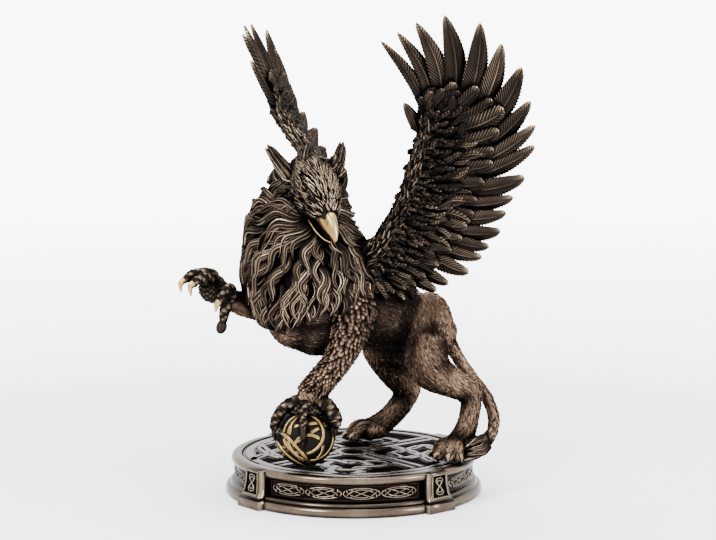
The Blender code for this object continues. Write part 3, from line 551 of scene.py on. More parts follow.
# Rows of small coverts from the greater coverts up to the arm: level, length, width, gap
COVERT_ROWS = ((0.58, 14, 6.6, 4.6), (0.48, 12, 5.8, 4.2), (0.39, 10.5, 5.0, 3.8), (0.31, 9, 4.4, 3.5),
               (0.24, 8, 4.0, 3.2), (0.18, 7, 3.7, 3.0), (0.12, 6.4, 3.4, 2.9), (0.06, 6.0, 3.2, 2.8),
               (0.0, 5.6, 3.0, 2.7), (-0.05, 5.2, 2.8, 2.7))


def add_rim_scales(shells, which, rng):
    """Small feathers all round the leading edge of the arm."""
    line = spline(EDGE, 200)
    centre = wing_points(which, line[:, 0], line[:, 1], 0)
    run = np.concatenate([[0], np.cumsum(np.linalg.norm(np.diff(centre, axis=0), axis=1))])
    radius = np.interp(line[:, 1], np.array(EDGE)[:, 1], EDGE_RADII)
    flat = unit(wing_points(which, 30, 50, 1) - wing_points(which, 30, 50, 0))
    ahead = wing_points(which, 29, 50, 0) - wing_points(which, 30, 50, 0)
    out = unit(np.cross(unit(np.gradient(centre, axis=0)), flat))
    out = out * np.sign(out @ ahead)[:, None]
    u = np.linspace(0, 1, 6)
    for row in range(9):
        for at in np.arange(1.6 * (row % 2), run[-1] - 5, 3.5):
            k = np.minimum(np.searchsorted(run, at + u * rng.uniform(4.4, 6.0)), len(run) - 1)
            angle = math.radians(-104 + 26 * row) + u * rng.normal(0, 0.3)
            radial = out[k] * np.cos(angle)[:, None] + flat * np.sin(angle)[:, None]
            path = centre[k] + radial * (radius[k] + 0.1 + 0.9 * u)[:, None]
            add_leaf(shells, path, radial, rng.uniform(2.8, 4.0), 0.7, 0.1, streaks=1,
                     tone=rng.uniform(-0.34, 0.0),
                     rows=6, blunt=0.8)
    # thin pale line down the front of the arm
    spot = slice(18, 150, 4)
    front = centre[spot] + (out[spot] * 0.94 + flat * 0.34) * (radius[spot] + 0.7)[:, None]
    shells.add(tube(front, [0.6] * len(front), sides=8, count=90), 0.78)


def make_wing(which):
    """Flight feathers, rows of coverts on both faces, arm, leading edge and thumb feather."""
    shells = Shells()
    rng = np.random.default_rng(11 if which == "near" else 12)
    far = which == "far"
    tips = [FAR_TIPS.get(i, f[1]) if far else f[1] for i, f in enumerate(FLIGHT)]
    for i, (root, _, width) in enumerate(FLIGHT):
        rows = int(np.clip(np.linalg.norm(np.subtract(tips[i], root)) / (1.4 if far else 0.88), 20, 70))
        add_plumes(shells, which, [root], [tips[i]], [width], 0.0, 0.6 * (-1) ** i, rows,
                   bend=BEND.get(i, 0.06),
                   barb=0.42, tone=rng.uniform(-0.06, 0.06),
                   blunt=float(np.interp(i, [4, 11], [0.26, 0.50])))
    for face in (1, -1):
        # greater coverts over the flight feathers' roots
        root, tip, width = [], [], []
        for i in range(len(FLIGHT)):
            a, b = np.array(COVERT_ROOT[i], float), np.array(COVERT_END[i], float)
            end = np.array(FLIGHT[i][1], float)
            if far and i in FAR_TIPS:
                b = b - (end - np.array(FAR_TIPS[i])) * 0.6
            b = b + (0.12 + rng.uniform(-0.04, 0.05)) * (end - b)
            root.append(a + (b - a) * 0.45)
            tip.append(b)
            width.append(FLIGHT[i][2] * (0.72 if i < 6 else 0.95))
        add_plumes(shells, which, root, tip, width, 1.9 * face, 2.8 * face, 26, face, dome=0.9, barb=0.36,
                   tone=rng.uniform(-0.10, 0.04, len(root)), blunt=0.6)
        # smaller coverts in ragged overlapping rows up to the arm
        for k, (level, size, wide, gap) in enumerate(COVERT_ROWS):
            start, way = covert_rows(gap * (1.6 if far else 1.12), level)
            n = len(start)
            start = start + rng.normal(0, 0.7, start.shape)
            turn = rng.normal(0, 0.27, n) + 0.25 * wander(np.concatenate([start, start[:, :1]], 1), 11, k)
            way = way * np.cos(turn)[:, None] + np.stack([-way[:, 1], way[:, 0]], 1) * np.sin(turn)[:, None]
            end = start + way * (size * rng.uniform(0.75, 1.25, n))[:, None]
            low = (wing_thickness(start[:, 0], start[:, 1]) - 0.1) * face
            high = (wing_thickness(end[:, 0], end[:, 1]) + 0.9 + rng.uniform(0, 1.3, n)) * face
            rows = 16 if k < 2 else (11 if k < 4 else 8)
            add_plumes(shells, which, start, end, wide * rng.uniform(0.8, 1.2, n), low, high, rows, face,
                       bend=0.10 * rng.choice([-1, 1]), twist=0.12 * face, dome=0.8, shaft=0.3, barb=0.2,
                       tone=rng.uniform(-0.20, 0.14, n), dark=0.01, blunt=0.6)
    add_rim_scales(shells, which, rng)
    arm = [wing_points(which, s, t, 0) for s, t in EDGE]
    bar = tube(arm, EDGE_RADII, sides=20, count=130)
    centre = bar.mean(axis=1, keepdims=True)
    rough = wander(bar, 2.2, 4)
    shells.add(centre + (bar - centre) * (1 + 0.05 * rough)[..., None], 0.48 + 0.35 * rough)
    mid = [wing_points(which, s, t, 0) for s, t in PLATE]
    normal = wing_points(which, 30, 50, 1) - wing_points(which, 30, 50, 0)
    shells.add(tube(mid, PLATE_SIZE, up=normal, sides=16, count=30), 0.1)
    root, tip, width = THUMB[which]
    add_plumes(shells, which, [root], [tip], [width], 0.0, 0.8, 30)
    return finish_piece(shells.object(which + "_wing"), BRONZE, "griffin")


# Body

def torso_grids():
    spine = [(47.0, 9.0, 87), (40.0, 7.0, 90.6), (30, 3.5, 93.6), (17.3, -1.5, 95.5), (4.3, -8.7, 98.5),
             (-9, -18, 102.5), (-19, -26, 106)]
    girth = [(10, 8.5), (14.5, 14.0), (16.5, 15.6), (16.5, 17.0), (18.5, 20), (21, 24), (20, 23)]
    return [tube(spine, girth, sides=28, count=40),
            ball((-15.5, -25, 97.9), (19, 18, 21), axis=(-0.5, -0.5, -0.6)),
            ball((-26.5, -28, 98.7), (17.2, 16, 17.4), axis=(-0.5, -0.5, -0.6)),
            ball((40.2, 7, 92.0), (12.5, 13.0, 12.0), axis=(1, 0.3, -0.3))]


MANE_AXIS = [(-19.0, -27, 174), (-23.2, -23.5, 163), (-25.5, -22, 147), (-24, -23.5, 130),
             (-21.5, -26, 113),
             (-20, -27, 100), (-20, -27, 92)]
MANE_RADII = [(14, 10), (19.4, 14.5), (26, 20), (30.1, 23), (30.2, 24.5), (25, 22), (14, 14)]


def mane_core():
    return tube(MANE_AXIS, MANE_RADII, up=(0, -1, 0), sides=40, count=44)


def leg_grids():
    """Haunches, hind legs to the ankle, and both fore legs to the wrist."""
    return [
        # near hind leg
        ball((40.0, -6.5, 88.2), (14.6, 11, 21.8), axis=(0.1, 0.18, 1), up=(0, 1, 0)),
        tube([(40.5, -8, 83), (42.5, -12, 69.5), (53.0, -11.5, 62.2), (64.0, -9, 57.0)],
             [(11, 13), (9.8, 11.0), (7.2, 8.2), (5.8, 6.4)], sides=20),
        tube([(65.0, -8.3, 57.5), (64.2, -9.4, 47), (61.8, -11.2, 36), (58, -13.8, 29)],
             [(5.8, 6.0), (5.2, 5.6), (5.6, 5.8), (6.8, 6.0)], up=(0, 1, 0), sides=20),
        # far hind leg
        ball((23.5, 16, 83.5), (18.5, 11, 20), axis=(0.75, -0.1, 1), up=(0, 1, 0)),
        tube([(14, 16.5, 85), (15.6, 19.5, 75.5), (18.2, 23, 66.5), (22.0, 26.5, 58.5), (28.0, 32, 50.8)],
             [(12, 12.5), (12.2, 12.4), (10.2, 10.0), (8.0, 8.0), (7.0, 7.4)], sides=20),
        tube([(28.4, 32.7, 50.0), (23.4, 33.5, 40.6), (16.3, 33.5, 32.5), (10.5, 32.5, 28.5)],
             [(6.6, 7.4), (6.2, 7.2), (6.0, 7.0), (6.4, 6.2)], up=(0, 1, 0), sides=20),
        # near fore leg
        ball((0.5, -30, 104), (13, 12, 19), axis=(0.1, 0.1, 1), up=(0, 1, 0)),
        tube(NEAR_FORE, NEAR_FORE_RADII, up=(0, 1, 0), sides=20),
        # raised fore leg
        ball((-30, -10, 108), (11, 12, 13), axis=(1, 0.3, 0)),
        tube([(-27, -8, 106), (-41.3, -14.5, 102.2), (-48.5, -20.8, 103.2), (-55.1, -26.9, 105.0),
              (-63.0, -34.6, 108.2)], [(10.5, 10.5), (7.8, 8.4), (7.0, 7.6), (6.2, 6.7), (5.3, 5.6)],
             sides=20)]


NEAR_FORE = [(1.3, -32.9, 104), (0.0, -35.5, 91), (-5.4, -39.5, 77), (-14, -43.8, 66.0), (-19, -46.5, 59)]
NEAR_FORE_RADII = [(12, 12), (9.6, 10.0), (6.7, 7.8), (6.4, 7.2), (6.8, 6.8)]
TAIL = [(50.5, 9.5, 83), (57.8, 8, 70.5), (66.4, 6.8, 59), (73.8, 4.4, 49.0), (76.9, -1.3, 39.0),
        (74.4, -8.6, 31.4), (69.2, -14.6, 27.0)]
TAIL_RADII = [4.2, 3.4, 3.3, 3.3, 3.2, 3.2, 3.2]
NEAR_PAW = np.array([56.0, -16.8, 27.6])
FAR_PAW = np.array([8.0, 31.5, 27.0])
NEAR_TOES = ((-9.5, -3.0), (-7.5, -8.5), (-2.0, -11.5), (3.6, -10.5))
FAR_TOES = ((-7.0, 5.5), (-11.0, 1.5), (-11.5, -3.5), (-8.0, -8.0))


def paw_grids():
    """Hind paws: a rounded foot and four toes each."""
    out = [ball(NEAR_PAW, (7.4, 9.0, 6.6)), ball(FAR_PAW, (9.5, 7.6, 6.2))]
    for paw, shift, toes in ((NEAR_PAW, (-0.5, 0), NEAR_TOES), (FAR_PAW, (-1.5, -0.5), FAR_TOES)):
        for dx, dy in toes:
            start = paw + (dx * 0.3, dy * 0.3, 1.9)
            joint = paw + (shift[0] + dx * 0.7, shift[1] + dy * 0.7, 1.2)
            tip = paw + (shift[0] + dx, shift[1] + dy, -3.7)
            out.append(tube([start, joint, tip], [3.4, 3.5, 2.7], sides=14))
    return out


FUR_BONES = (((-20, -27, 104), (47, 9, 90)), ((38, -8, 98), (42.5, -12, 69.5)),
             ((42.5, -12, 69.5), (64, -9, 57)),
             ((65, -8, 57), (61, -11, 34)), ((61, -11, 34), (53, -25, 24)),
             ((26, 17, 95), (19.8, 22.5, 70)),
             ((19.8, 22.5, 70), (28, 32, 51)), ((28, 32.7, 50), (16, 33, 32)), ((16, 33, 32), (-2, 31, 24)),
             ((50.5, 9.5, 83), (66.2, 6.8, 59)), ((66.2, 6.8, 59), (77.4, -1.3, 39)),
             ((77.4, -1.3, 39), (69, -15, 27)),
             ((-27, -8, 106), (-48, -20, 103)), ((-48, -20, 103), (-63, -34, 108)))


def fur_flow(p):
    """Direction of the coat at points: along the nearest bones, down each limb."""
    total = np.zeros_like(p)
    for a, b in FUR_BONES:
        a, b = np.array(a, float), np.array(b, float)
        along = b - a
        t = np.clip(((p - a) @ along) / (along @ along), 0, 1)
        d = np.linalg.norm(p - (a + t[:, None] * along), axis=1)
        total += unit(along) / (d[:, None] + 2.0) ** 4
    return unit(total)


def make_body():
    """Torso, haunches, legs, tail and paws as one skin."""
    mass = fuse("mass", torso_grids() + leg_grids(), 1.1, 9)
    low = read_points(mass)
    bump = read_normals(mass)
    write_points(mass, low + bump * 0.35)
    pieces = paw_grids() + [mane_core_low()]
    pieces.append(tube(TAIL, TAIL_RADII, up=(0, 1, 0), sides=16, count=50))
    extra = shells_of(pieces).object("extra")
    body = join("griffin_body", [mass, extra])
    union = body.modifiers.new("union", "REMESH")
    union.mode = "VOXEL"
    union.voxel_size = BODY_VOXEL * MM
    bake(body)
    soft = body.modifiers.new("soft", "SMOOTH")
    soft.factor = 0.5
    soft.iterations = 3
    bake(body)
    # creases in front of the near haunch and a dimple on it
    p = read_points(body)
    n = read_normals(body)
    crease = np.exp(-((p[:, 0] - 27.5 - 0.12 * (p[:, 2] - 85)) / 2.2) ** 2) * np.clip((104 - p[:, 2]) / 12,
                                                                                      0, 1)
    crease = crease * np.clip((p[:, 2] - 68) / 10, 0, 1) * (p[:, 1] < -2)
    dimple = np.exp(-(np.linalg.norm(p - (44, -17, 92), axis=1) / 3.2) ** 2)
    p = p - n * (1.1 * crease + 0.9 * dimple)[:, None]
    p[:, 2] = np.maximum(p[:, 2], SOLE_Z)
    write_points(body, p)
    relief_from_form(body, 0.35, base=0.44, times=6)
    edges = read_edges(body)
    p = read_points(body)
    bulge = ((p - blur(p, edges, 60)) * read_normals(body)).sum(1)
    broad = np.clip(0.30 * (bulge - 0.15), -0.12, 0.26) + 0.08 * wander(p, 7, 3)
    # the whole coat a little darker, and much darker above z 106 at the front: painted shade under the mane
    coat_dark_and_mane_shade = 0.06 + 0.5 * np.clip((p[:, 2] - 106) / 6, 0, 1) * (p[:, 0] < 2)
    set_value(body, "relief", np.clip(get_value(body, "relief") + broad - coat_dark_and_mane_shade, 0, 1))
    return finish_piece(body, COAT, "griffin")


def mane_core_low():
    """Core under the mane, a little inside its locks."""
    return tube(MANE_AXIS, [(a - 1.0, b - 1.0) for a, b in MANE_RADII], up=(0, -1, 0), sides=40, count=44)


def join(name, objs):
    """One object of several meshes that need no attributes."""
    bm = bmesh.new()
    for o in objs:
        bm.from_mesh(o.data)
    mesh = bpy.data.meshes.new(name)
    bm.to_mesh(mesh)
    bm.free()
    for o in objs:
        bpy.data.objects.remove(o)
    obj = bpy.data.objects.new(name, mesh)
    bpy.context.scene.collection.objects.link(obj)
    return obj


def scatter(p, cell, rng):
    """Indices of about one point per cell."""
    keys = np.floor(p / cell + rng.uniform(0, 1, 3)).astype(int)
    order = rng.permutation(len(p))
    _, first = np.unique(keys[order] @ np.array([1, 1000, 1000000]), return_index=True)
    return order[first]


def make_fur(body):
    """Short carved strokes of the coat."""
    rng = np.random.default_rng(5)
    p = read_points(body)
    n = read_normals(body)
    form = get_value(body, "relief")
    hidden = ((p[:, 0] < 3) & (p[:, 2] > 100)) | (p[:, 2] < 22.5) | ((p[:, 0] < 6) & (p[:, 1] < -28)
                                                                     & (p[:, 2] > 50)
                                                                   & (p[:, 2] < 100)
                                                                     & (p[:, 0] > -24 + 0.2 * p[:, 2]))
    hidden |= (p[:, 0] < -38) & (p[:, 2] > 110)
    keep = np.where(~hidden)[0]
    pick = keep[scatter(p[keep], 1.96, rng)]
    tree = BVHTree.FromPolygons([Vector(c) for c in p], [tuple(f.vertices) for f in body.data.polygons])
    start, normal = p[pick], n[pick]
    flow = fur_flow(start)
    angle = 0.5 * wander(start, 8, 2) + rng.normal(0, 0.2, len(start))
    flow = unit(flow - normal * (flow * normal).sum(1, keepdims=True))
    flow = flow * np.cos(angle)[:, None] + np.cross(normal, flow) * np.sin(angle)[:, None]
    long = rng.uniform(2.2, 3.8, len(start))
    rows = 3
    u = np.linspace(0, 1, rows)
    path = np.zeros((len(start), rows, 3))
    normals = np.zeros_like(path)
    for k, t in enumerate(u):
        guess = start + flow * (long * t)[:, None] + np.cross(normal, flow) * (0.35 * np.sin(3 * t + angle
                                                                                             * 5))[:, None]
        for m in range(len(start)):
            hit = tree.find_nearest(Vector(guess[m]))
            path[m, k] = hit[0]
            normals[m, k] = hit[1]
    across = unit(np.cross(np.gradient(path, axis=1), normals))
    width = (0.58 * np.array([0.5, 1.0, 0.15]))[None, :, None]
    lift = np.array([0.08, 0.45, 0.06])[None, :, None]
    grid = np.stack([path + across * width * a + normals * lift * b for a,
                     b in ((-1, -0.4), (0, 1.0), (1, -0.4))], 2)
    # strokes darker toward the bottom below z 62, and darker on the tail
    low = 0.20 * np.clip((62 - start[:, 2]) / 30, 0, 1) + 0.12 * (start[:, 0] > 66)
    shine = form[pick] - 0.17 - low + rng.uniform(-0.22, 0.22, len(start))
    shells = Shells()
    shells.add(grid, np.clip(np.array([-0.10, 0.34, -0.10])[None, None, :] + shine[:, None, None], 0, 1))
    return finish_piece(shells.object("fur_strokes"), COAT, "griffin")


# Mane

FACE = np.array([0.418, -0.646, -0.64])
FACE_CENTRE = np.array([-13.5, -46.0, 156.0])
SKULL = np.array([-16.2, -37.5, 166.5])
HEAD_SIDE = unit(np.cross(FACE, (0, 0, 1)))
HEAD_UP = np.cross(HEAD_SIDE, unit(FACE))


def head(f, s, u):
    """Point of the head: f ahead along the face, s to the griffin's right, u up from the skull's centre."""
    f, s, u = (np.asarray(x, float)[..., None] for x in np.broadcast_arrays(f, s, u))
    return SKULL + unit(FACE) * f + HEAD_SIDE * s + HEAD_UP * u


def add_lock(shells, path, normals, width, ribs, lift, rng, tone=0.0, rows=22):
    """A waving ribbed lock: sunk at its root, standing off toward its tip, ending in a point."""
    path, normals = even(path, rows, np.asarray(normals, float))
    normals = unit(normals)
    side = unit(np.cross(np.gradient(path, axis=0), normals))
    u = np.linspace(0, 1, rows)
    half = width / 2 * (0.62 + 0.42 * np.sin(np.pi * np.minimum(u * 0.85 + 0.12,
                                                                1))) * (1 - 0.95 * u ** 3.2)
    rise = lift * np.sin(np.pi * np.clip(u * 0.70, 0, 1)) ** 1.1
    grid, relief = [], []
    steps = 2 * ribs
    for k in range(steps + 1):
        ridge = k % 2
        x = -1 + 2 * k / steps + (rng.uniform(-0.12, 0.12) if ridge else 0)
        outer = k in (0, steps)
        high = (0.55 + rng.uniform(-0.1,
                                   0.35)) * ridge * half / half.max() + 0.9 * (1 - x * x) - 1.5 * outer
        grid.append(path + side * (half * x)[:, None] + normals * (rise * (1 - 0.35 * x * x) + high)[:,
                                                                                                     None])
        relief.append(0.0 if outer else (0.96 + rng.uniform(-0.24, 0.06) if ridge else 0.20))
    grid.append(path - normals * 1.4)
    relief.append(0.0)
    light = np.array(relief)[None, :] * (1 + tone) - 0.45 * np.clip((0.32 - u) / 0.32, 0, 1)[:, None]
    shells.add(np.stack(grid, 1), np.clip(light + 0.08 * (u[:, None] > 0.75), 0, 1))


def walk(tree, start, steps, step, wave, swing, phase, heading):
    """Path over a surface that follows the heading while it swings from side to side."""
    p = np.array(start)
    path, normals = [], []
    for k in range(steps):
        hit = tree.find_nearest(Vector(p))
        n = np.array(hit[1])
        flow = heading(p)
        flow = unit(flow - n * np.dot(flow, n))
        side = np.cross(n, flow)
        path.append(np.array(hit[0]))
        normals.append(n)
        grow = swing * (0.8 + 0.5 * k / steps)
        p = path[-1] + (flow + side * grow * math.cos(phase + 2 * math.pi * k * step / wave)) * step
    return np.array(path), np.array(normals)


def surface_tree(grid):
    """Search tree of a tube's skin, its faces turned outward."""
    rows, cols = grid.shape[:2]
    out = grid[rows // 2, 0] - grid[rows // 2].mean(axis=0)
    across = np.cross(grid[rows // 2, 1] - grid[rows // 2, 0], grid[rows // 2 + 1, 0] - grid[rows // 2, 0])
    turn = -1 if np.dot(across, out) < 0 else 1
    faces = [(i * cols + j, i * cols + (j + 1) % cols, (i + 1) * cols + (j + 1) % cols,
              (i + 1) * cols + j)[::turn]
             for i in range(rows - 1) for j in range(cols)]
    return BVHTree.FromPolygons([Vector(c) for c in grid.reshape(-1, 3)], faces)


def mane_heading(p):
    """Away from the face, and down more strongly the lower the place."""
    fall = np.clip((152 - p[2]) / 46, 0.05, 1.1)
    return unit(p - FACE_CENTRE) * (1.35 if p[1] < -20 else 0.6) + np.array([0, 0.0, -fall])


def nape_heading(p):
    """Back and down from the crown."""
    return 0.5 * unit((p - SKULL) * (1, 1, 0)) + np.array([0, 0, -1.0])


def mane_end(path):
    """Index where a lock stops, clear of the smooth chest."""
    floor = np.where(path[:, 1] < -24, np.clip(101 + 0.42 * (path[:, 0] + 15), 92, 103), 86)
    low = path[:, 2] < floor
    return int(np.argmax(low)) if low.any() else len(path)


def make_mane():
    """Waving locks laid over the neck and chest, radiating from the face and falling."""
    tree = surface_tree(mane_core())
    shells = Shells()
    rng = np.random.default_rng(4)
    golden = math.pi * (3 - math.sqrt(5))
    count = 305
    starts = []
    levels = np.linspace(177, 97, 100)
    girth = np.interp(-levels, [-a[2] for a in MANE_AXIS], [r[0] for r in MANE_RADII])
    share = np.cumsum(girth) / girth.sum()
    for i in range(count):
        z = float(np.interp((i + 0.5) / count, share, levels))
        angle = i * golden + rng.normal(0, 0.08)
        guess = Vector((-21 + 40 * math.cos(angle), -30 + 40 * math.sin(angle), z + rng.normal(0, 1)))
        starts.append(np.array(tree.find_nearest(guess)[0]))
    # a ring of locks close round the face
    for i in range(34):
        angle = 2 * math.pi * i / 34
        spot = FACE_CENTRE + (HEAD_SIDE * math.cos(angle) + HEAD_UP * math.sin(angle)) * rng.uniform(5, 10)
        starts.append(np.array(tree.find_nearest(Vector(spot))[0]))
    for start in starts:
        phase = 1.6 * float(wander(start, 34, 3)) + rng.uniform(-0.4, 0.4)
        short = start[2] > 158 or start[1] > -14
        size = rng.uniform(23, 34) * (0.55 if short else 1.0)
        path, normals = walk(tree, start, int(size / 1.2), 1.2, rng.uniform(17, 21), 0.66, phase,
                             mane_heading)
        stop = mane_end(path)
        if stop < 7:
            continue
        width = rng.uniform(3.8, 6.4) * (0.8 if short else 1.0)
        add_lock(shells, path[:stop], normals[:stop], width, int(round(width / 1.6)), rng.uniform(2.2, 4.8),
                 rng,
                 tone=rng.uniform(-0.18, 0.10))
    # two rows of short locks over the nape, from the crown down to the others
    back = math.atan2(-FACE[1], -FACE[0])
    for i in range(30):
        angle = back + math.radians(-115 + 230 * (i % 15 + 0.5 * (i // 15)) / 14)
        spot = SKULL + np.array([16 * math.cos(angle), 16 * math.sin(angle), 10 - 8 * (i // 15)])
        start = np.array(tree.find_nearest(Vector(spot))[0])
        path, normals = walk(tree, start, 14, 1.2, 18, 0.5, rng.uniform(0, 6.28), nape_heading)
        add_lock(shells, path, normals, rng.uniform(4.2, 5.6), 3, rng.uniform(2.0, 3.4), rng,
                 tone=rng.uniform(-0.30, -0.05), rows=13)
    return finish_piece(shells.object("mane"), BRONZE, "griffin")


# Head

def mirrored(points):
    return [points, [(f, -s, u) for f, s, u in points]]


BROW = [(-2, 8.8, 6.8), (2.2, 8.3, 5.6), (7.5, 7.0, 3.6), (11.5, 5.6, 1.8), (15.2, 3.9, 1.2)]


def brow_gap(p):
    """Distance of each point from the crest of the nearer brow."""
    crest = np.concatenate([spline([head(f, s, u + 1.4) for f, s, u in line],
                                   30) for line in mirrored(BROW)])
    return np.min(np.linalg.norm(p[:, None] - crest[None], axis=2), axis=1)


def make_head():
    core = [
        tube([head(-14, 0, 0.5), head(-8, 0, 1.5), head(0, 0, 1.0), head(7, 0, 0.4), head(12, 0, -0.2),
              head(16, 0, 0.2), head(19.6, 0, 0.0)],
             [(9, 9), (11, 10.6), (11.3, 10.6), (9.8, 9.0), (7.8, 7.0), (6.0, 5.0), (4.4, 2.9)], up=HEAD_UP,
             sides=28,
             count=40),
        ball(head(-4, 0, -7), (8.5, 8, 9), axis=FACE, up=HEAD_UP),
        tube([head(2, 0, -10.5), head(9, 0, -12.5), head(16, 0, -13.0), head(22, 0, -12.2)],
             [(7.0, 4.0), (5.6, 2.6), (4.0, 1.7), (2.4, 1.0)], up=HEAD_UP, sides=20)]
    for side in mirrored(BROW):
        core.append(tube([head(*p) for p in side], [1.2, 1.9, 2.2, 1.9, 1.1], sides=12, count=24))
    for side in mirrored([(1.5, 8.6, -4.6), (6.5, 7.8, -4.4), (11.5, 6.6, -3.4), (16.5, 5.2, -2.4)]):
        core.append(tube([head(*p) for p in side], [2.6, 2.2, 1.7, 1.2], sides=12, count=24))
    for side in mirrored([(-3, 9.3, -3), (-4, 9.5, 2), (-3, 9.0, 6)]):
        core.append(tube([head(*p) for p in side], [2.2, 2.2, 2.0], sides=12, count=20))
    skull = fuse("head", core, 0.6, 3)
    p = read_points(skull)
    n = read_normals(skull)
    for way in (-1, 1):
        socket = head(6.2, 8.0 * way, 0.2)
        d = np.linalg.norm((p - socket) * (1, 1, 0.8), axis=1)
        p = p - n * (1.5 * np.exp(-(d / 2.6) ** 2))[:, None]
    write_points(skull, p)
    relief_from_form(skull, 0.5, base=0.36)
    # a further darkening round the eyes: painted shade under the brows
    eyes = np.minimum(*(np.linalg.norm(p - head(6.0, 8.2 * way, -0.4), axis=1) for way in (-1, 1)))
    value = get_value(skull, "relief") + 0.28 * np.exp(-(brow_gap(p)
                                                         / 1.7) ** 2) - 0.5 * np.exp(-(eyes / 3.0) ** 2)
    set_value(skull, "relief", np.clip(value, 0, 1))
    return finish_piece(skull, BRONZE, "griffin")


def make_beak():
    shells = Shells()
    rows = 30
    culmen = spline([(18.0, 3.2), (21.5, 2.9), (25.0, 2.0), (28.6, 0.3), (31.6, -2.0), (32.9, -4.2),
                     (32.8, -6.6)], rows)
    tomium = spline([(16.6, -3.2), (19.5, -3.8), (22.6, -4.1), (26.4, -4.2), (29.6, -4.1), (31.6, -5.0),
                     (32.5, -6.6)], rows)
    half = spline(np.array([5.3, 4.9, 4.3, 3.4, 2.2, 1.2, 0.15])[:, None], rows)[:, 0]
    a = np.linspace(-1, 1, 17)
    arch = 1 - np.abs(a) ** 2.3
    f = tomium[:, :1] + (culmen[:, :1] - tomium[:, :1]) * arch
    u = tomium[:, 1:] + (culmen[:, 1:] - tomium[:, 1:]) * arch
    s = half[:, None] * np.sign(a) * np.abs(a) ** 0.8
    p = head(f, s, u)
    relief = 0.62 + 0.26 * np.exp(-(a / 0.2) ** 2) + 0.16 * (np.abs(a) > 0.88) + np.zeros_like(f)
    # the rows at the beak's root darker: painted shade where the beak meets the face
    relief = relief - 0.25 * np.clip(1 - np.linspace(0, 1, rows)[:, None] * 6, 0, 1)
    for way in (-1, 1):
        groove = head(np.array([20.6, 22.4, 24.0]), np.array([2.5, 2.7, 2.6]) * way,
                      np.array([-0.2, -0.2, -0.6]))
        d = np.min(np.linalg.norm(p[:, :, None] - groove[None, None], axis=-1), axis=-1)
        dent = np.exp(-(d / 0.75) ** 2)
        p = p - HEAD_UP * (dent * 0.7)[..., None] - HEAD_SIDE * way * (dent * 0.5)[..., None]
        relief = relief - 0.75 * dent
    palate = head(tomium[:, 0], 0, tomium[:, 1] + 0.9 * half / 4.7)
    p = np.concatenate([p, palate[:, None]], 1)
    relief = np.concatenate([relief, np.full((rows, 1), 0.1)], 1)
    shells.add(p, np.clip(relief, 0, 1))
    rim = spline([(8.5, 5.8, -10.6), (11.1, 5.1, -10.9), (17.1, 4.1, -11.2), (22.0, 3.0, -10.9),
                  (26.0, 1.9, -10.1),
                  (29.3, 0.25, -8.7)], 24)
    t = np.linspace(0, 1, 24)
    depth = 2.0 - 1.1 * t
    section = []
    for a, down in ((1, 0), (1.06, 0.35), (0.72, 0.85), (0, 1.0), (-0.72, 0.85), (-1.06, 0.35), (-1, 0),
                    (-0.72, 0.0), (-0.5, 0.45), (0, 0.6), (0.5, 0.45), (0.72, 0.0)):
        section.append(head(rim[:, 0], rim[:, 1] * a, rim[:, 2] - depth * down))
    p = np.stack(section, 1)
    relief = np.array([0.95, 0.85, 0.45, 0.35, 0.45, 0.85, 0.95, 0.6, 0.1, 0.05, 0.1, 0.6])
    shells.add(p, relief[None, :])
    obj = shells.object("beak")
    return finish_piece(obj, GOLD, "griffin")


def make_mouth():
    grids = [tube([head(5, 0, -7.0), head(12, 0, -7.2), head(19, 0, -6.6), head(25, 0, -6.2)],
                  [(5.4, 3.0), (4.2, 2.7), (2.9, 2.0), (1.2, 1.0)], up=HEAD_UP, sides=16, count=20)]
    shells = Shells()
    for g in grids:
        shells.add(g, 0.1)
    shells.add(tube([head(12, 0, -9.2), head(19, 0, -9.8), head(25.5, 0, -9.2)],
                    [(1.6, 0.8), (1.4, 0.7), (0.6, 0.4)],
                    up=HEAD_UP, sides=12, count=16), 0.6)
    obj = shells.object("mouth")
    return finish_piece(obj, MOUTH, "griffin")


def make_eyes():
    shells = Shells()
    for way in (-1, 1):
        shells.add(ball(head(6.4, 6.9 * way, 0.4), (2.0, 2.0, 2.0)), 0.5)
    obj = shells.object("eyes")
    return finish_piece(obj, EYE, "griffin")


def add_leaf(shells, path, normals, width, ridge=0.8, edge=0.3, streaks=2, tone=0.0, rows=14, blunt=0.1):
    """Carved feather in space: shaft and streaked vanes."""
    path, normals = even(path, rows, np.asarray(normals, float))
    normals = unit(normals)
    u = np.linspace(0, 1, rows)
    w = width * (0.55 + 0.5 * np.sin(np.pi * np.minimum(u * 0.85 + 0.12, 1))) * (1 - (1 - blunt) * u ** 3.5)
    w = w * np.sqrt(np.clip(1 - (np.clip(u - 0.88, 0, 1) / 0.1202) ** 2, 0.004, 1))
    steps = 2 * streaks
    section, relief = [], []
    for k in range(-steps, steps + 1):
        x = k / steps
        high = k % 2 == 0
        section.append((x,
                        edge + (ridge - edge) * (1 - x * x) + (0.10 if high else -0.10) * (abs(k) < steps)
                        + (0.25 if k == 0 else 0)))
        relief.append(0.95 if k == 0 else (0.74 if high else 0.30))
    section.append((0, -0.3))
    relief.append(0.2)
    value = np.array(relief)[None, :] + tone - 0.25 * (u[:, None] < 0.2)
    shells.add_sweep(path, normals, w, 1.0, section, np.clip(value, 0, 1))


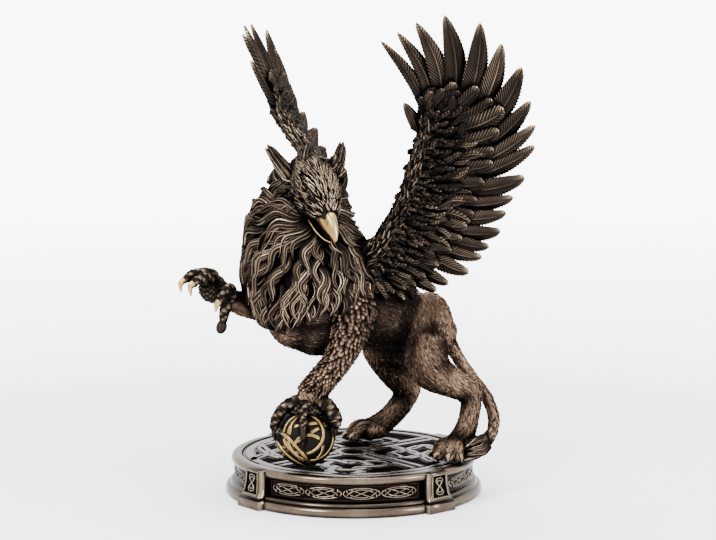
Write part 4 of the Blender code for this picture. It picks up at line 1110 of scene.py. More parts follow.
def make_head_feathers(skull):
    """Small feathers over the crown, brows and cheeks, the lip lines and the two tufts."""
    shells = Shells()
    rng = np.random.default_rng(8)
    p = read_points(skull)
    rel = p - SKULL
    f = rel @ unit(FACE)
    s = rel @ HEAD_SIDE
    u = rel @ HEAD_UP
    keep = (f < 19.2) & (u > -9.5 + 0.25 * np.maximum(f, 0)) & ~((np.abs(s) < 6) & (u < -2) & (f > 4))
    for way in (-1, 1):
        keep &= np.linalg.norm(p - head(6.4, 7.8 * way, 0.2), axis=1) > 2.7
    index = np.where(keep)[0]
    pick = index[scatter(p[index], 1.9, rng)]
    tree = BVHTree.FromPolygons([Vector(c) for c in p], [tuple(x.vertices) for x in skull.data.polygons])
    pick = pick[brow_gap(p[pick]) > 1.3]
    for k in pick[np.argsort(f[pick])]:
        start = p[k]
        outward = HEAD_SIDE * np.sign(s[k]) * 0.35 * min(abs(s[k]) / 6,
                                                         1) - HEAD_UP * (0.25 if u[k] < 0 else -0.1)

        def heading(q):
            return outward - unit(FACE)

        size = 3.6 + 0.18 * max(14 - f[k], 0)
        path, normals = walk(tree, start, 7, size / 6, 14, 0.25, rng.uniform(0, 6), heading)
        lift = np.linspace(0.0, 0.9, len(path))[:, None]
        crown = 0.34 * np.clip((f[k] - 1) / 7, -0.3, 1) * (abs(s[k]) < 6.5) - 0.02
        add_leaf(shells, path + normals * lift, normals,
                 rng.uniform(1.7, 2.5) * (0.75 if f[k] > 10 else 1.0), 0.5, 0.1,
                 streaks=1, tone=crown + rng.uniform(-0.16, 0.12), rows=6)
    # lip lines from the corners of the mouth to the beak
    for side in mirrored([(3.2, 7.6, -11.2), (2.6, 7.9, -9.6), (4.6, 7.9, -8.9), (7.5, 7.5, -7.9),
                          (12, 6.2, -5.4),
                          (17.5, 4.9, -3.6)]):
        line = [head(*q) for q in side]
        shells.add(tube(line, [0.5, 0.8, 0.8, 0.75, 0.7, 0.5], sides=10, count=30), 0.8)
    # tufts: narrow leaves with staggered blunt tips, front and back
    for base, tip, lean in (((-23.6, -36.8, 165.5), (-42.3, -33.9, 190.0), (-0.2, -1, 0.2)),
                            ((-12.0, -34.0, 166.0), (-3.6, -24.2, 191.2), (0.5, -1, 0.3))):
        base, tip = np.array(base), np.array(tip)
        mid = (base + tip) / 2 + np.array([-1.0 if tip[0] < -20 else 1.6, 0, 1.0])
        normal = unit(lean)
        side = unit(np.cross(tip - base, normal))
        path = spline([base, mid, tip], 40)
        for shift, rise, start, end, width in ((0.2, 0.0, 0.0, 1.02, 5.2), (-1.5, 0.5, 0.0, 0.99, 4.2),
                                               (1.5, 0.5, 0.0, 0.94, 4.2), (-2.3, 1.1, 0.1, 0.66, 3.4),
                                               (2.2, 1.1, 0.1, 0.62, 3.4), (0.1, 1.5, 0.2, 0.76, 3.0),
                                               (0.6, 1.8, 0.0, 0.46, 3.4), (-0.6, -1.2, 0.0, 0.95, 5.4),
                                               (1.4, -1.3, 0.0, 0.78, 5.0), (-1.9, -1.3, 0.0, 0.70, 4.6)):
            at = np.linspace(start, min(end, 1.0), 20)
            line = np.stack([np.interp(at, np.linspace(0, 1, 40), path[:, k]) for k in range(3)], 1)
            line = line + unit(tip - mid) * max(end - 1, 0) * 30 * np.linspace(0, 1, 20)[:, None] ** 2
            spread = shift * (1.0 + 0.35 * np.sin(np.pi * at))
            line = line + side * spread[:, None] + normal * (rise + 0.4 * np.sin(9 * at + shift))[:, None]
            face_way = normal if rise >= 0 else -normal
            add_leaf(shells, line, np.tile(face_way, (20, 1)), width * 0.86, 1.1, 0.3, streaks=2,
                     tone=rng.uniform(-0.22, 0.10), rows=20, blunt=0.72)
    obj = shells.object("head_feathers")
    return finish_piece(obj, BRONZE, "griffin")


# Feet

def ringed(points, radii, up, rings, depth=0.07, sides=16, per=4):
    """Toe or shank with scutes across it."""
    count = rings * per
    grid = tube(points, radii, up=up, sides=sides, count=count)
    centre = grid.mean(axis=1, keepdims=True)
    phase = (np.arange(len(grid)) % per) / per
    bulge = np.sin(np.pi * phase) ** 0.7
    around = np.linspace(0, 2 * math.pi, sides, endpoint=False)
    knob = np.sin(around[None, :] * 3 + np.arange(len(grid))[:, None] // per * 2.1)
    relief = 0.36 + 0.16 * bulge[:, None] + 0.30 * knob
    swell = 1 - depth + depth * 1.4 * bulge[:, None] + 0.035 * knob * bulge[:, None]
    return centre + (grid - centre) * swell[..., None], relief


def orb_point(lat, lon, r):
    """Point over the orb: latitude up from its equator, longitude from -Y toward +X, degrees."""
    a, b = math.radians(lat), math.radians(lon)
    return ORB_CENTRE + r * np.array([math.cos(a) * math.sin(b), -math.cos(a) * math.cos(b), math.sin(a)])


def claw_grid(base, mid, tip, r):
    return tube([base, mid, tip], [r, r * 0.8, 0.3], sides=12, count=16)


# Raised foot: each toe's path, then its claw's middle and tip
RAISED_TOES = (
    (((-71.5, -38.0, 121.5), (-75.4, -42.7, 123.0), (-80.4, -46.6, 122.6), (-82.9, -48.0, 121.0)),
     ((-86.0, -49.4, 118.4), (-85.9, -49.7, 113.8)), 3.8),
    (((-70.5, -40.0, 119.5), (-72.8, -45.0, 120.6), (-75.8, -49.0, 121.0), (-77.9, -50.6, 119.8)),
     ((-80.6, -52.0, 117.4), (-80.5, -52.2, 112.4)), 3.8),
    (((-71.5, -35.5, 120.0), (-76.0, -34.5, 121.0), (-80.0, -34.5, 119.0), (-81.5, -35.0, 117.0)),
     ((-83.6, -35.5, 114.6), (-83.0, -35.8, 110.6)), 3.8),
    (((-60.6, -37.5, 110.0), (-61.0, -43.0, 115.4), (-63.6, -46.8, 114.1), (-65.6, -47.8, 110.0)),
     ((-67.4, -48.6, 107.0), (-67.9, -48.6, 103.4)), 3.3))
# Toes over the orb: longitude, latitude of the last joint, radius, extra height of the knuckle
ORB_TOES = ((-64, 18, 3.1, 0.8), (2, 22, 2.1, 0.0), (72, 24, 4.0, 1.3), (172, 24, 3.0, 0.0))


def make_fore_feet():
    """Palms and toes of both fore feet, with claws of their own."""
    shells = Shells()
    gold = Shells()
    dark = Shells()
    palm = np.array([-19.8, -47.0, 58.5])
    over = ORB_R + 0.6
    for lon, end, thick, rise in ORB_TOES:
        knuckle = orb_point(58, lon, over + thick + rise)
        middle = orb_point(36, lon, over + thick - 0.2 + rise * 0.5)
        last = orb_point(end + 4, lon, over + thick - 0.5)
        grid, relief = ringed([palm, knuckle, middle, last], [4.6, thick + 0.4, thick, thick - 0.5],
                              (0, 1, 0.2), 11)
        shells.add(grid, relief)
        reach = 14 if lon == 2 else 0
        dark.add(claw_grid(last, orb_point(end - 9 - reach / 2, lon, over + 1.8),
                           orb_point(end - 22 - reach, lon, over + 0.5),
                           1.6), 0.5)
    palm_grids = [ball((-71.0, -37.0, 114.4), (8.2, 4.4, 7.7), axis=(0.3, 0.1, 1)),
                  tube([(-64.8, -35.2, 109.5), (-70.8, -37.0, 115.5), (-71.8, -38.2, 121.0)],
                       [5.2, 5.0, 3.4]),
                  ball(palm + (0, 0.5, 0.5), (6.4, 6.0, 4.6)), ball((-20.6, -46.4, 52.4), (11.0, 9.0, 5.6))]
    palms = fuse("palms", palm_grids, 0.6, 2)
    p = read_points(palms)
    n = read_normals(palms)
    p = p + n * (0.35 * np.sin(p[:, 2:3] * 2.3 + 1.5 * np.sin(p[:, 0:1] * 1.1))
                 * np.sin(p[:, 0:1] * 1.9 + p[:, 1:2]))
    write_points(palms, p)
    relief_from_form(palms, 1.2, base=0.34)
    finish_piece(palms, BRONZE, "griffin")
    for path, (mid, tip), thick in RAISED_TOES:
        grid, relief = ringed(path, [thick, thick * 0.87, thick * 0.78, thick * 0.64], (0, 0, 1), 8)
        shells.add(grid, relief)
        gold.add(claw_grid(path[-1], mid, tip, 1.9), 0.75)
    grid, relief = ringed([(-62.9, -36.6, 109.8), (-64.7, -38.4, 103.0), (-65.4, -38.8, 98.6)],
                          [3.8, 3.1, 2.5],
                          (0, 1, 0), 6)
    shells.add(grid, relief)
    shells.add(ball((-66.4, -39.4, 94.4), (2.9, 2.9, 3.8), axis=(0.3, 0.1, 1)), 0.45)
    finish_piece(shells.object("fore_toes"), BRONZE, "griffin")
    finish_piece(gold.object("gold_claws"), GOLD, "griffin")
    for paw, shift, toes in ((NEAR_PAW, (-0.5, 0), NEAR_TOES), (FAR_PAW, (-1.5, -0.5), FAR_TOES)):
        for dx, dy in toes:
            tip = paw + (shift[0] + dx, shift[1] + dy, -3.0)
            ahead = unit((dx, dy, 0))
            dark.add(tube([tip - ahead * 0.5 + (0, 0, 1.6), tip + ahead * 2.6 + (0, 0, 0.6),
                           tip + ahead * 3.6
                           - (0, 0, 1.9)], [1.6, 1.2, 0.3], sides=10, count=12), 0.85)
    finish_piece(dark.object("dark_claws"), BRONZE, "griffin")


SCALE = ((-1, -0.3), (-0.72, 0.45), (0, 0.9), (0.72, 0.45), (1, -0.3), (0, -0.6))
SCALE_RELIEF = (0.05, 0.6, 0.9, 0.6, 0.05, 0.0)


def make_scales(body):
    """Overlapping rounded scales round the near fore leg, larger toward the shoulder."""
    p = read_points(body)
    tree = BVHTree.FromPolygons([Vector(c) for c in p], [tuple(f.vertices) for f in body.data.polygons])
    shells = Shells()
    rng = np.random.default_rng(9)
    path = spline([(2.5, -31.5, 110)] + NEAR_FORE, 200)
    run = np.concatenate([[0], np.cumsum(np.linalg.norm(np.diff(path, axis=0), axis=1))])
    side, lift = frames(path, (0, 1, 0))
    tang = unit(np.gradient(path, axis=0))
    at, row = 0.0, 0
    while at < run[-1] - 1:
        k = int(np.searchsorted(run, at))
        share = at / run[-1]
        size = 3.2 - 0.9 * share + 0.5 * float(wander(path[k], 9, 1))
        radius = 12.5 - 5.5 * min(share * 1.4, 1)
        count = int(2 * math.pi * radius / (size * 0.86))
        for m in range(count):
            angle = 2 * math.pi * (m + 0.5 * (row % 2)) / count + rng.normal(0, 0.05)
            out = side[k] * math.cos(angle) + lift[k] * math.sin(angle)
            hit = tree.ray_cast(Vector(path[k] + out * 30), Vector(-out))
            if hit[0] is None:
                continue
            base = np.array(hit[0])
            n = np.array(hit[1])
            if np.linalg.norm(base - path[k]) > 15.5 - 6 * share or np.dot(n, out) < 0.25:
                continue
            down = unit(tang[k] - n * np.dot(tang[k], n))
            length = size * rng.uniform(0.9, 1.15)
            u = np.linspace(0, 1, 7)[:, None]
            turn = rng.normal(0, 0.3)
            way = down * math.cos(turn) + np.cross(n, down) * math.sin(turn)
            line = base + way * (u - 0.25) * length + n * (0.05 + rng.uniform(0.5, 1.1) * u)
            wide = size * rng.uniform(0.95,
                                      1.25) * np.sqrt(np.clip(1 - (u[:, 0] * 1.7 - 0.72) ** 2, 0.01, 1))
            value = np.array(SCALE_RELIEF)[None, :] * (0.45 + 0.6 * u) + rng.uniform(-0.14, 0.12)
            shells.add_sweep(line, np.tile(n, (7, 1)), wide, 0.8, SCALE, np.clip(value, 0, 1))
        at += size * 0.62
        row += 1
    obj = shells.object("foreleg_scales")
    return finish_piece(obj, COAT, "griffin")


def make_tail_tuft():
    shells, base = Shells(), Shells()
    rng = np.random.default_rng(3)
    line = spline([(74, -10.0, 30.0), (70.5, -13.5, 28.4), (66.5, -19.0, 27.8), (62.5, -24.0, 25.4),
                   (57.5, -28.6, 23.4)], 40)
    side, lift = frames(line, (0, 0, 1))
    base.add(tube(line[::8], [3.0, 4.2, 4.4, 3.4, 1.0], sides=16, count=24), 0.1)
    for k in range(15):
        a = 2 * math.pi * k / 15 + rng.normal(0, 0.2)
        start = int(rng.integers(0, 10))
        stop = min(39, start + int(rng.integers(24, 31)))
        u = np.linspace(0, 1, stop - start + 1)[:, None]
        out = side[start:stop + 1] * math.cos(a) + lift[start:stop + 1] * math.sin(a)
        swirl = np.cross(unit(np.gradient(line, axis=0))[start:stop + 1], out)
        r = 3.0 + 1.2 * np.sin(np.pi * np.minimum(u * 0.8 + 0.1, 1)) - 1.8 * u ** 2
        path = line[start:stop + 1] + out * r + swirl * (1.6 * np.sin(2 * math.pi * u + 0.6 * a))
        path[:, 2] = np.maximum(path[:, 2], SOLE_Z + 0.9)
        add_lock(shells, path, out, rng.uniform(3.4, 4.6), 3, 0.7, rng, tone=-0.08)
    for part, name in ((base, "tail_core"), (shells, "tail_tuft")):
        obj = part.object(name)
        p = read_points(obj)
        p[:, 2] = np.maximum(p[:, 2], SOLE_Z)
        write_points(obj, p)
        finish_piece(obj, BRONZE, "griffin")


# Plinth

def polar(angle_deg, radius, z):
    """Angle is measured from the front (-Y) toward +X."""
    a = np.radians(angle_deg)
    return np.stack(np.broadcast_arrays(np.sin(a) * radius, -np.cos(a) * radius, z), -1)


def crossings(loops):
    """For closed plane curves: per curve, a list of (place along it, +1 over or -1 under)."""
    out = []
    for a, c in enumerate(loops):
        found = []
        p, q = c, np.roll(c, -1, axis=0)
        for b, d in enumerate(loops):
            r, s = d, np.roll(d, -1, axis=0)
            pq, rs = (q - p)[:, None], (s - r)[None]
            pr = r[None] - p[:, None]
            den = pq[..., 0] * rs[..., 1] - pq[..., 1] * rs[..., 0]
            with np.errstate(divide="ignore", invalid="ignore"):
                t = (pr[..., 0] * rs[..., 1] - pr[..., 1] * rs[..., 0]) / den
                u = (pr[..., 0] * pq[..., 1] - pr[..., 1] * pq[..., 0]) / den
            hit = (np.abs(den) > 1e-9) & (t >= 0) & (t < 1) & (u >= 0) & (u < 1)
            i, j = np.nonzero(hit)
            if a == b:
                gap = np.minimum((i - j) % len(c), (j - i) % len(c))
                i, j = i[gap > 1], j[gap > 1]
            found += list(i + t[i, j])
        found.sort()
        out.append([(x, 1 if (k + a) % 2 == 0 else -1) for k, x in enumerate(found)])
    return out


FLAT = ((-1, -0.8), (-0.94, 0.9), (-0.80, 1.0), (0.80, 1.0), (0.94, 0.9), (1, -0.8))
FLAT_RELIEF = (0.0, 0.62, 0.66, 0.66, 0.62, 0.0)
ROUND = ((-1, -0.6), (-0.8, 0.55), (-0.3, 1.0), (0.3, 1.0), (0.8, 0.55), (1, -0.6))
ROUND_RELIEF = (0.0, 0.55, 0.95, 0.95, 0.55, 0.0)


def add_knot(shells, loops, place, width, height, section, relief, dip, reach):
    """Woven bands: place maps plane points to (points, normals). A band dips where it passes under another."""
    for c, marks in zip(loops, crossings(loops)):
        c = np.asarray(c, float)
        step = np.linalg.norm(np.roll(c, -1, axis=0) - c, axis=1)
        run = np.concatenate([[0], np.cumsum(step)])
        total = run[-1]
        where = run[:-1]
        level = np.zeros(len(c))
        for at, sign in marks:
            spot = np.interp(at, range(len(run)), run)
            gap = np.abs(where - spot)
            gap = np.minimum(gap, total - gap)
            bell = np.clip((reach * 1.25 - gap) / (reach * 0.35), 0, 1)
            level = np.where(bell > 0, sign * bell, level)
        points, normals = place(c)
        drop = np.where(level < 0, dip * level, 0.10 * height * level)
        points = points + normals * drop[:, None]
        value = np.asarray(relief)[None, :] - 0.75 * np.clip(-level, 0, 1)[:, None]
        shells.add_sweep(points, normals, width, height, section, np.clip(value, 0, 1), ring=True)


def loop(fx, fy, count):
    t = np.linspace(0, 2 * math.pi, count, endpoint=False)
    return np.stack([fx(t), fy(t)], 1)


def zigzag(t):
    """Soft triangle wave."""
    return np.arcsin(np.sin(t) * 0.985) / math.asin(0.985)


# Plinth outline (radius, height) with its relief: foot roll, step, panel, rim roll, groove, inner ring, field
PROFILE = ((0.01, 0, 0.2), (69.0, 0, 0.2), (69.6, 0.2, 0.4), (70.1, 0.8, 0.62), (70.3, 1.6, 0.72),
           (70.3, 2.5, 0.76),
           (70.1, 3.4, 0.76), (69.6, 4.2, 0.74), (69.0, 4.7, 0.62), (68.5, 4.95, 0.4), (68.2, 5.0, 0.05),
           (68.0, 5.2, 0.05), (67.95, 5.5, 0.5), (67.7, 6.1, 0.66), (67.2, 6.7, 0.66), (66.5, 7.1, 0.5),
           (65.9, 7.25, 0.2), (65.4, 7.4, 0.05), (65.1, 7.7, 0.1), (65.0, 8.0, 0.14), (65.0, 16.0, 0.14),
           (65.1, 16.3, 0.05), (65.8, 16.5, 0.3), (66.3, 16.7, 0.6), (66.7, 17.2, 0.7), (67.0, 17.9, 0.76),
           (67.1, 18.7, 0.78), (66.95, 19.5, 0.80), (66.5, 20.2, 0.82), (65.8, 20.7, 0.74),
           (64.9, 20.95, 0.62),
           (64.0, 21.0, 0.62), (61.8, 21.0, 0.62), (61.5, 20.9, 0.6), (61.4, 20.4, 0.1), (61.4, 19.5, 0.0),
           (0.01, 19.5, 0.0))
FIELD = ((0.01, 19.3, 0.0), (61.45, 19.3, 0.0), (61.45, 19.9, 0.1), (58, 20.0, 0.3), (40, 20.1, 0.45),
         (20, 20.1, 0.45),
         (0.01, 20.1, 0.45))


def block_size(z):
    """Half width and outer radius of a corner block at height z, flaring toward its foot."""
    half = np.interp(z, [0, 4.9, 6.0, 9.0, 14, 20.8], [9.2, 9.2, 8.2, 7.3, 6.7, 6.4])
    out = np.interp(z, [0, 4.9, 6.0, 9.0, 14, 20.8], [72.8, 72.8, 71.6, 70.2, 69.3, 69.1])
    return half, out


def make_plinth():
    shells = Shells()
    angles = np.arange(0, 360, 2.0)
    grid = np.stack([polar(angles, r, z) for r, z, _ in PROFILE])
    shells.add(grid, np.array(PROFILE)[:, 2:])
    field = Shells()
    field.add(np.stack([polar(angles, r, z) for r, z, _ in FIELD]), np.array(FIELD)[:, 2:])
    finish_piece(field.object("plinth_field"), PLINTH_FIELD, "plinth")
    for angle in BRACKET_ANGLES:
        out = polar(angle, 1, 0)
        across = polar(angle + 90, 1, 0)
        levels = [0.0, 0.3, 4.6, 5.0, 5.3, 5.8, 6.6, 7.5, 9, 11, 14, 17, 19.6, 20.4, 20.75]
        rings, relief = [], []
        for z in levels:
            half, reach = block_size(z)
            inset = 0.35 if z in (0.0, 5.0, 20.75) else 0.0
            half, reach = half - inset, reach - inset
            corner = 0.5
            row = [(-half, reach - 10), (half, reach - 10), (half, reach - corner), (half - corner, reach),
                   (-half + corner, reach), (-half, reach - corner)]
            rings.append([across * a + out * b + np.array([0, 0, z]) for a, b in row])
            relief.append([0.4, 0.4, 0.9, 0.74, 0.74, 0.9] if z in (0.3, 4.6,
                                                                    20.4) or 5.8 < z < 20 else [0.1] * 6)
        shells.add(np.array(rings), np.array(relief))

        def face_place(c, lift=0.0):
            reach = block_size(c[:, 1])[1]
            p = out * (reach + lift)[:, None] + across * c[:, :1] + np.array([0, 0, 1.0]) * c[:, 1:]
            return p, np.tile(out, (len(c), 1))

        # sunk panel behind the block's raised frame
        sides = []
        for z in np.linspace(7.6, 19.4, 10):
            half = block_size(z)[0] - 1.9
            sides.append((half, z))
        sunk = np.array([[(-h, z), (h, z)] for h, z in sides]).reshape(-1, 2)
        p = face_place(sunk, 0.05)[0].reshape(len(sides), 2, 3)
        plate = np.concatenate([p, p[:, ::-1] - out * 1.0], 1)
        shells.add(plate, 0.12)
        outline = np.array(sides + [(-h, z) for h, z in reversed(sides)])
        p, n = face_place(outline)
        shells.add_sweep(p, n, 1.1, 0.6, ROUND, np.array(ROUND_RELIEF)[None, :] * 0.95, ring=True)
        knots = [loop(lambda t: 2.3 * np.sin(2 * t), lambda t: 13.4 + 4.3 * np.sin(t), 56),
                 loop(lambda t: 1.5 * np.sin(2 * t + math.pi), lambda t: 13.4 + 3.0 * np.cos(t), 48)]
        add_knot(shells, knots, face_place, 0.8, 0.5, ROUND, ROUND_RELIEF, 0.35, 0.7)
    obj = shells.object("plinth_body")
    finish_piece(obj, PLINTH, "plinth")

    knots = Shells()

    def panel_place(c):
        a = np.degrees(c[:, 0] / PANEL_R)
        return polar(a, 65.0, c[:, 1]), polar(a, 1.0, 0.0)

    for quarter in range(4):
        mid = math.radians(90 * quarter) * PANEL_R
        reach = math.radians(45) * PANEL_R - 10.4
        edge = np.concatenate([np.stack([np.linspace(-reach, reach, 44), np.full(44, 8.4)], 1),
                               np.stack([np.linspace(reach, -reach, 44), np.full(44, 15.8)], 1)])
        p, n = panel_place(edge + (mid, 0))
        knots.add_sweep(p, n, 0.6, 0.45, ROUND, np.array(ROUND_RELIEF)[None, :] * 0.62, ring=True)
        pitch = 2 * (reach - 0.8) / 4
        for k in range(4):
            at = mid + (k - 1.5) * pitch
            flip = 1 if k % 2 else -1
            motif = [loop(lambda t: at + pitch * 0.475 * np.cos(t), lambda t: 12.1 + 2.85 * np.sin(t), 64),
                     loop(lambda t: at + flip * pitch * 0.39 * np.cos(2 * t + 0.55),
                          lambda t: 12.1 + 2.05 * np.sin(3 * t),
                          132)]
            add_knot(knots, motif, panel_place, 0.72, 0.5, ROUND, ROUND_RELIEF, 0.4, 0.6)
    finish_piece(knots.object("plinth_frieze"), PLINTH, "plinth")

    top = Shells()
    ground = 20.1
    rise = BAND_TOP_Z - ground
    up = (0, 0, 1.0)
    skirt = np.zeros((1, len(FLAT)))

    def band(path, width, ring=False):
        """A flat band in a narrow dark groove."""
        n = np.tile(up, (len(path), 1))
        top.add_sweep(path, n, width + 2.6, 0.10, FLAT, skirt, ring=ring)
        top.add_sweep(path, n, width, rise, FLAT, np.array(FLAT_RELIEF)[None, :], ring=ring)

    for angle in BRACKET_ANGLES:
        across = polar(angle + 90, 1, 0)
        for off in (-3.0, 3.0):
            band(np.linspace(polar(angle, 9.0, ground) + across * off,
                             polar(angle, 55.0, ground) + across * off, 12), 3.8)
    for quarter in range(4):
        mid = 90.0 * quarter
        centre = polar(mid, 34.5, ground)
        e1 = polar(mid, 1, 0)
        e2 = polar(mid + 90, 1, 0)

        def top_place(c):
            p = centre + e1 * c[:, :1] + e2 * c[:, 1:]
            return p, np.tile(up, (len(c), 1))

        if quarter % 2 == 0:
            curves = [loop(lambda t: 11.5 * np.cos(t) + 1.0, lambda t: 11.5 * np.sin(t), 120),
                      loop(lambda t: (13.5 + 7.5 * np.cos(3 * t)) * np.cos(t) + 2.0,
                           lambda t: (13.5 + 7.5 * np.cos(3 * t)) * np.sin(t) * 1.15, 260)]
            wide = 4.3
        else:
            curves = [loop(lambda t: 15.5 * zigzag(3 * t + 0.5) + 2.5,
                           lambda t: (26 + 15.5 * zigzag(3 * t + 0.5) * 0.62) * zigzag(4 * t) * 0.74, 420)]
            wide = 4.1
        add_knot(top, curves, top_place, wide + 2.6, 0.10, FLAT, skirt[0], 0.0, wide * 0.62)
        add_knot(top, curves, top_place, wide, rise, FLAT, FLAT_RELIEF, 0.45, wide * 0.62)
    band(polar(np.arange(0, 360, 6.0), 8.6, ground), 3.6, ring=True)
    band(polar(np.arange(0, 360, 3.0), 57.2, ground), 4.8, ring=True)
    finish_piece(top.object("plinth_top_bands"), PLINTH, "plinth")


# Orb

def make_orb():
    core = Shells()
    grid = ball(ORB_CENTRE, (ORB_R, ORB_R, ORB_R), sides=96, rows=60)
    core.add(grid, 0.35)
    obj = core.object("orb_core")
    finish_piece(obj, ORB_GROUND, "orb")
    bands = Shells()
    circles = []
    for lat, lon, radius in ORB_BANDS:
        pole = orb_point(lat, lon, 1.0) - ORB_CENTRE
        u = unit(np.cross(pole, (0.31, 0.52, 0.8)))
        v = np.cross(pole, u)
        t = np.linspace(0, 2 * math.pi, 140, endpoint=False)[:, None]
        r = math.radians(radius)
        circles.append(pole * math.cos(r) + (u * np.cos(t) + v * np.sin(t)) * math.sin(r))
    for a, c in enumerate(circles):
        level = np.zeros(len(c))
        marks = []
        for b, d in enumerate(circles):
            if a == b:
                continue
            near = (c @ d.T).max(axis=1)
            peak = (near > 0.9993) & (near >= np.roll(near, 1)) & (near > np.roll(near, -1))
            marks += [(int(i), b) for i in np.nonzero(peak)[0]]
        marks.sort()
        for k, (i, b) in enumerate(marks):
            over = 1 if (a * 7 + b * 3 + min(a, b)) % 2 == (0 if a < b else 1) else -1
            gap = np.abs(np.arange(len(c)) - i)
            gap = np.minimum(gap, len(c)
                             - gap) * 2 * math.pi * ORB_R * math.sin(math.radians(ORB_BANDS[a][2])) / len(c)
            bell = np.clip((2.6 - gap) / 1.2, 0, 1)
            level = np.where(bell > np.abs(level), over * bell, level)
        lift = 0.52 + np.where(level > 0, 0.08, 0.50) * level
        height = np.maximum(lift, 0.02)
        value = np.array([0.05, 0.80, 0.66, 0.66, 0.80, 0.05])[None, :] - 0.6 * np.clip(-level, 0, 1)[:,
                                                                                                      None]
        section = ((-1, -1.2), (-0.9, 0.75), (-0.45, 1.0), (0.45, 1.0), (0.9, 0.75), (1, -1.2))
        bands.add_sweep(ORB_CENTRE + c * ORB_R, c, ORB_BAND_W, height, section, np.clip(value, 0, 1),
                        ring=True)
    finish_piece(bands.object("orb_bands"), ORB_GOLD, "orb")


# How enclosed each point is and how far it faces down: dark patina in recesses, and painted shade in recesses,
# between parts and on downward faces

def shade_hollows():
    cell = 1.0
    low = np.array([-96.0, -82.0, -6.0])
    size = np.array([204, 188, 274])
    solid = np.zeros(size, np.float32)
    points = [read_points(o) for o in PIECES]
    for p in points:
        i = np.clip(((p - low) / cell).astype(int), 0, size - 1)
        solid[i[:, 0], i[:, 1], i[:, 2]] = 1.0

    def box_blur(a, r):
        for axis in range(3):
            total = np.cumsum(a, axis=axis, dtype=np.float32)
            ahead = np.roll(total, -r, axis=axis)
            behind = np.roll(total, r + 1, axis=axis)
            a = (ahead - behind) / (2 * r + 1)
        return a

    near = box_blur(solid, 1)
    wide = box_blur(solid, 3)
    for o, p in zip(PIECES, points):
        n = read_normals(o)
        i = np.clip(((p + n * 2.2 - low) / cell).astype(int), 4, size - 5)
        j = np.clip(((p + n * 4.5 - low) / cell).astype(int), 4, size - 5)
        a = near[i[:, 0], i[:, 1], i[:, 2]]
        b = wide[j[:, 0], j[:, 1], j[:, 2]]
        # downward faces darker: painted shade on the underside
        under = 0.20 * np.clip(-n[:, 2] - 0.15, 0, 1)
        # enclosed points darker: dark patina in recesses and painted shade between parts
        hollow = np.clip(1.1 * (a - 0.12), 0, 0.6) + np.clip(2.4 * (b - 0.08), 0, 0.5) + under
        set_value(o, "hollow", hollow * (0.35 if o.data.materials[0] == COAT else 1.0))


# Light, floor and camera

def add_area(name, place, target, size, power, colour=(1, 1, 1)):
    data = bpy.data.lights.new(name, "AREA")
    data.shape = "RECTANGLE"
    data.size = size[0]
    data.size_y = size[1]
    data.energy = power
    data.color = colour
    obj = bpy.data.objects.new(name, data)
    obj.location = place
    aim = Vector(target) - Vector(place)
    obj.rotation_euler = aim.to_track_quat("-Z", "Y").to_euler()
    bpy.context.scene.collection.objects.link(obj)


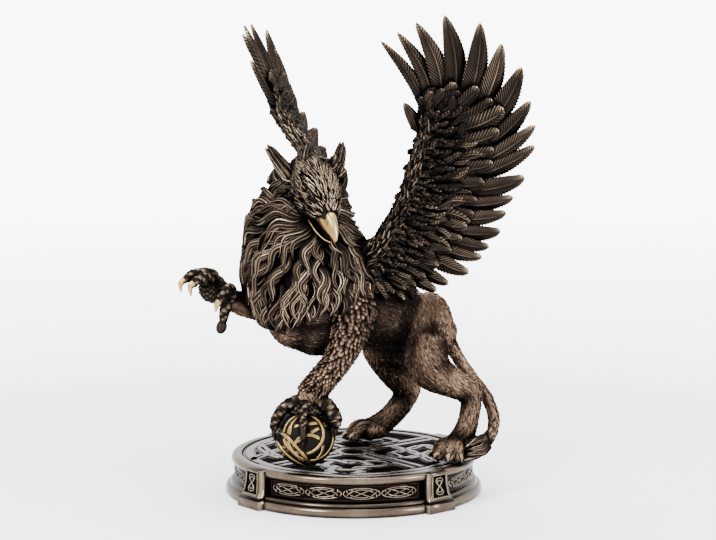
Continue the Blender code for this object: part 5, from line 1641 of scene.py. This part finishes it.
def make_stage():
    mesh = bpy.data.meshes.new("floor")
    bm = bmesh.new()
    bmesh.ops.create_grid(bm, x_segments=2, y_segments=2, size=6.0)
    bm.to_mesh(mesh)
    bm.free()
    floor = bpy.data.objects.new("floor", mesh)
    bpy.context.scene.collection.objects.link(floor)
    paper = bpy.data.materials.new("paper")
    paper.use_nodes = True
    nodes, links = paper.node_tree.nodes, paper.node_tree.links
    shader = nodes["Principled BSDF"]
    shader.inputs["Base Color"].default_value = (0.90, 0.905, 0.915, 1)
    shader.inputs["Roughness"].default_value = 0.7
    shader.inputs["Specular IOR Level"].default_value = 0.2
    # far from the object the paper thins out into the backdrop
    coords = nodes.new("ShaderNodeTexCoord")
    radius = nodes.new("ShaderNodeVectorMath")
    radius.operation = "LENGTH"
    fade = nodes.new("ShaderNodeMapRange")
    fade.inputs["From Min"].default_value = 0.35
    fade.inputs["From Max"].default_value = 2.0
    ease = nodes.new("ShaderNodeMath")
    ease.operation = "POWER"
    ease.inputs[1].default_value = 0.6
    clear = nodes.new("ShaderNodeBsdfTransparent")
    mix = nodes.new("ShaderNodeMixShader")
    links.new(coords.outputs["Object"], radius.inputs[0])
    links.new(radius.outputs["Value"], fade.inputs["Value"])
    links.new(fade.outputs["Result"], ease.inputs[0])
    links.new(ease.outputs[0], mix.inputs[0])
    links.new(shader.outputs[0], mix.inputs[1])
    links.new(clear.outputs[0], mix.inputs[2])
    links.new(mix.outputs[0], nodes["Material Output"].inputs["Surface"])
    mesh.materials.append(paper)
    world = bpy.data.worlds.new("studio")
    world.use_nodes = True
    tree = world.node_tree
    light = tree.nodes["Background"]
    light.inputs["Color"].default_value = (0.93, 0.945, 0.97, 1)
    light.inputs["Strength"].default_value = 3.1
    backdrop = tree.nodes.new("ShaderNodeBackground")
    backdrop.inputs["Color"].default_value = (0.975, 0.98, 1.0, 1)
    backdrop.inputs["Strength"].default_value = 9.5
    seen = tree.nodes.new("ShaderNodeLightPath")
    mix = tree.nodes.new("ShaderNodeMixShader")
    tree.links.new(seen.outputs["Is Camera Ray"], mix.inputs[0])
    tree.links.new(light.outputs[0], mix.inputs[1])
    tree.links.new(backdrop.outputs[0], mix.inputs[2])
    tree.links.new(mix.outputs[0], tree.nodes["World Output"].inputs["Surface"])
    bpy.context.scene.world = world
    add_area("key", (-0.55, -0.75, 0.85), (0, 0, 0.12), (0.35, 0.35), 17.0)
    add_area("fill", (0.9, -0.5, 0.45), (0, 0, 0.12), (0.25, 0.6), 8.0)
    add_area("top", (0.1, 0.15, 1.1), (0, 0, 0.1), (0.7, 0.5), 16.0)
    camera = bpy.data.cameras.new("camera")
    camera.sensor_width = 36.0
    camera.lens = 92.45
    camera.clip_start = 0.01
    obj = bpy.data.objects.new("camera", camera)
    obj.location = (0.0890, -0.9898, 0.2320)
    obj.rotation_euler = (math.radians(90 - 6.38), 0, math.radians(5))
    bpy.context.scene.collection.objects.link(obj)
    bpy.context.scene.camera = obj


body = make_body()
make_fur(body)
make_scales(body)
make_mane()
skull = make_head()
make_beak()
make_mouth()
make_eyes()
make_head_feathers(skull)
make_fore_feet()
make_tail_tuft()
make_wing("near")
make_wing("far")
make_plinth()
make_orb()
shade_hollows()
make_stage()
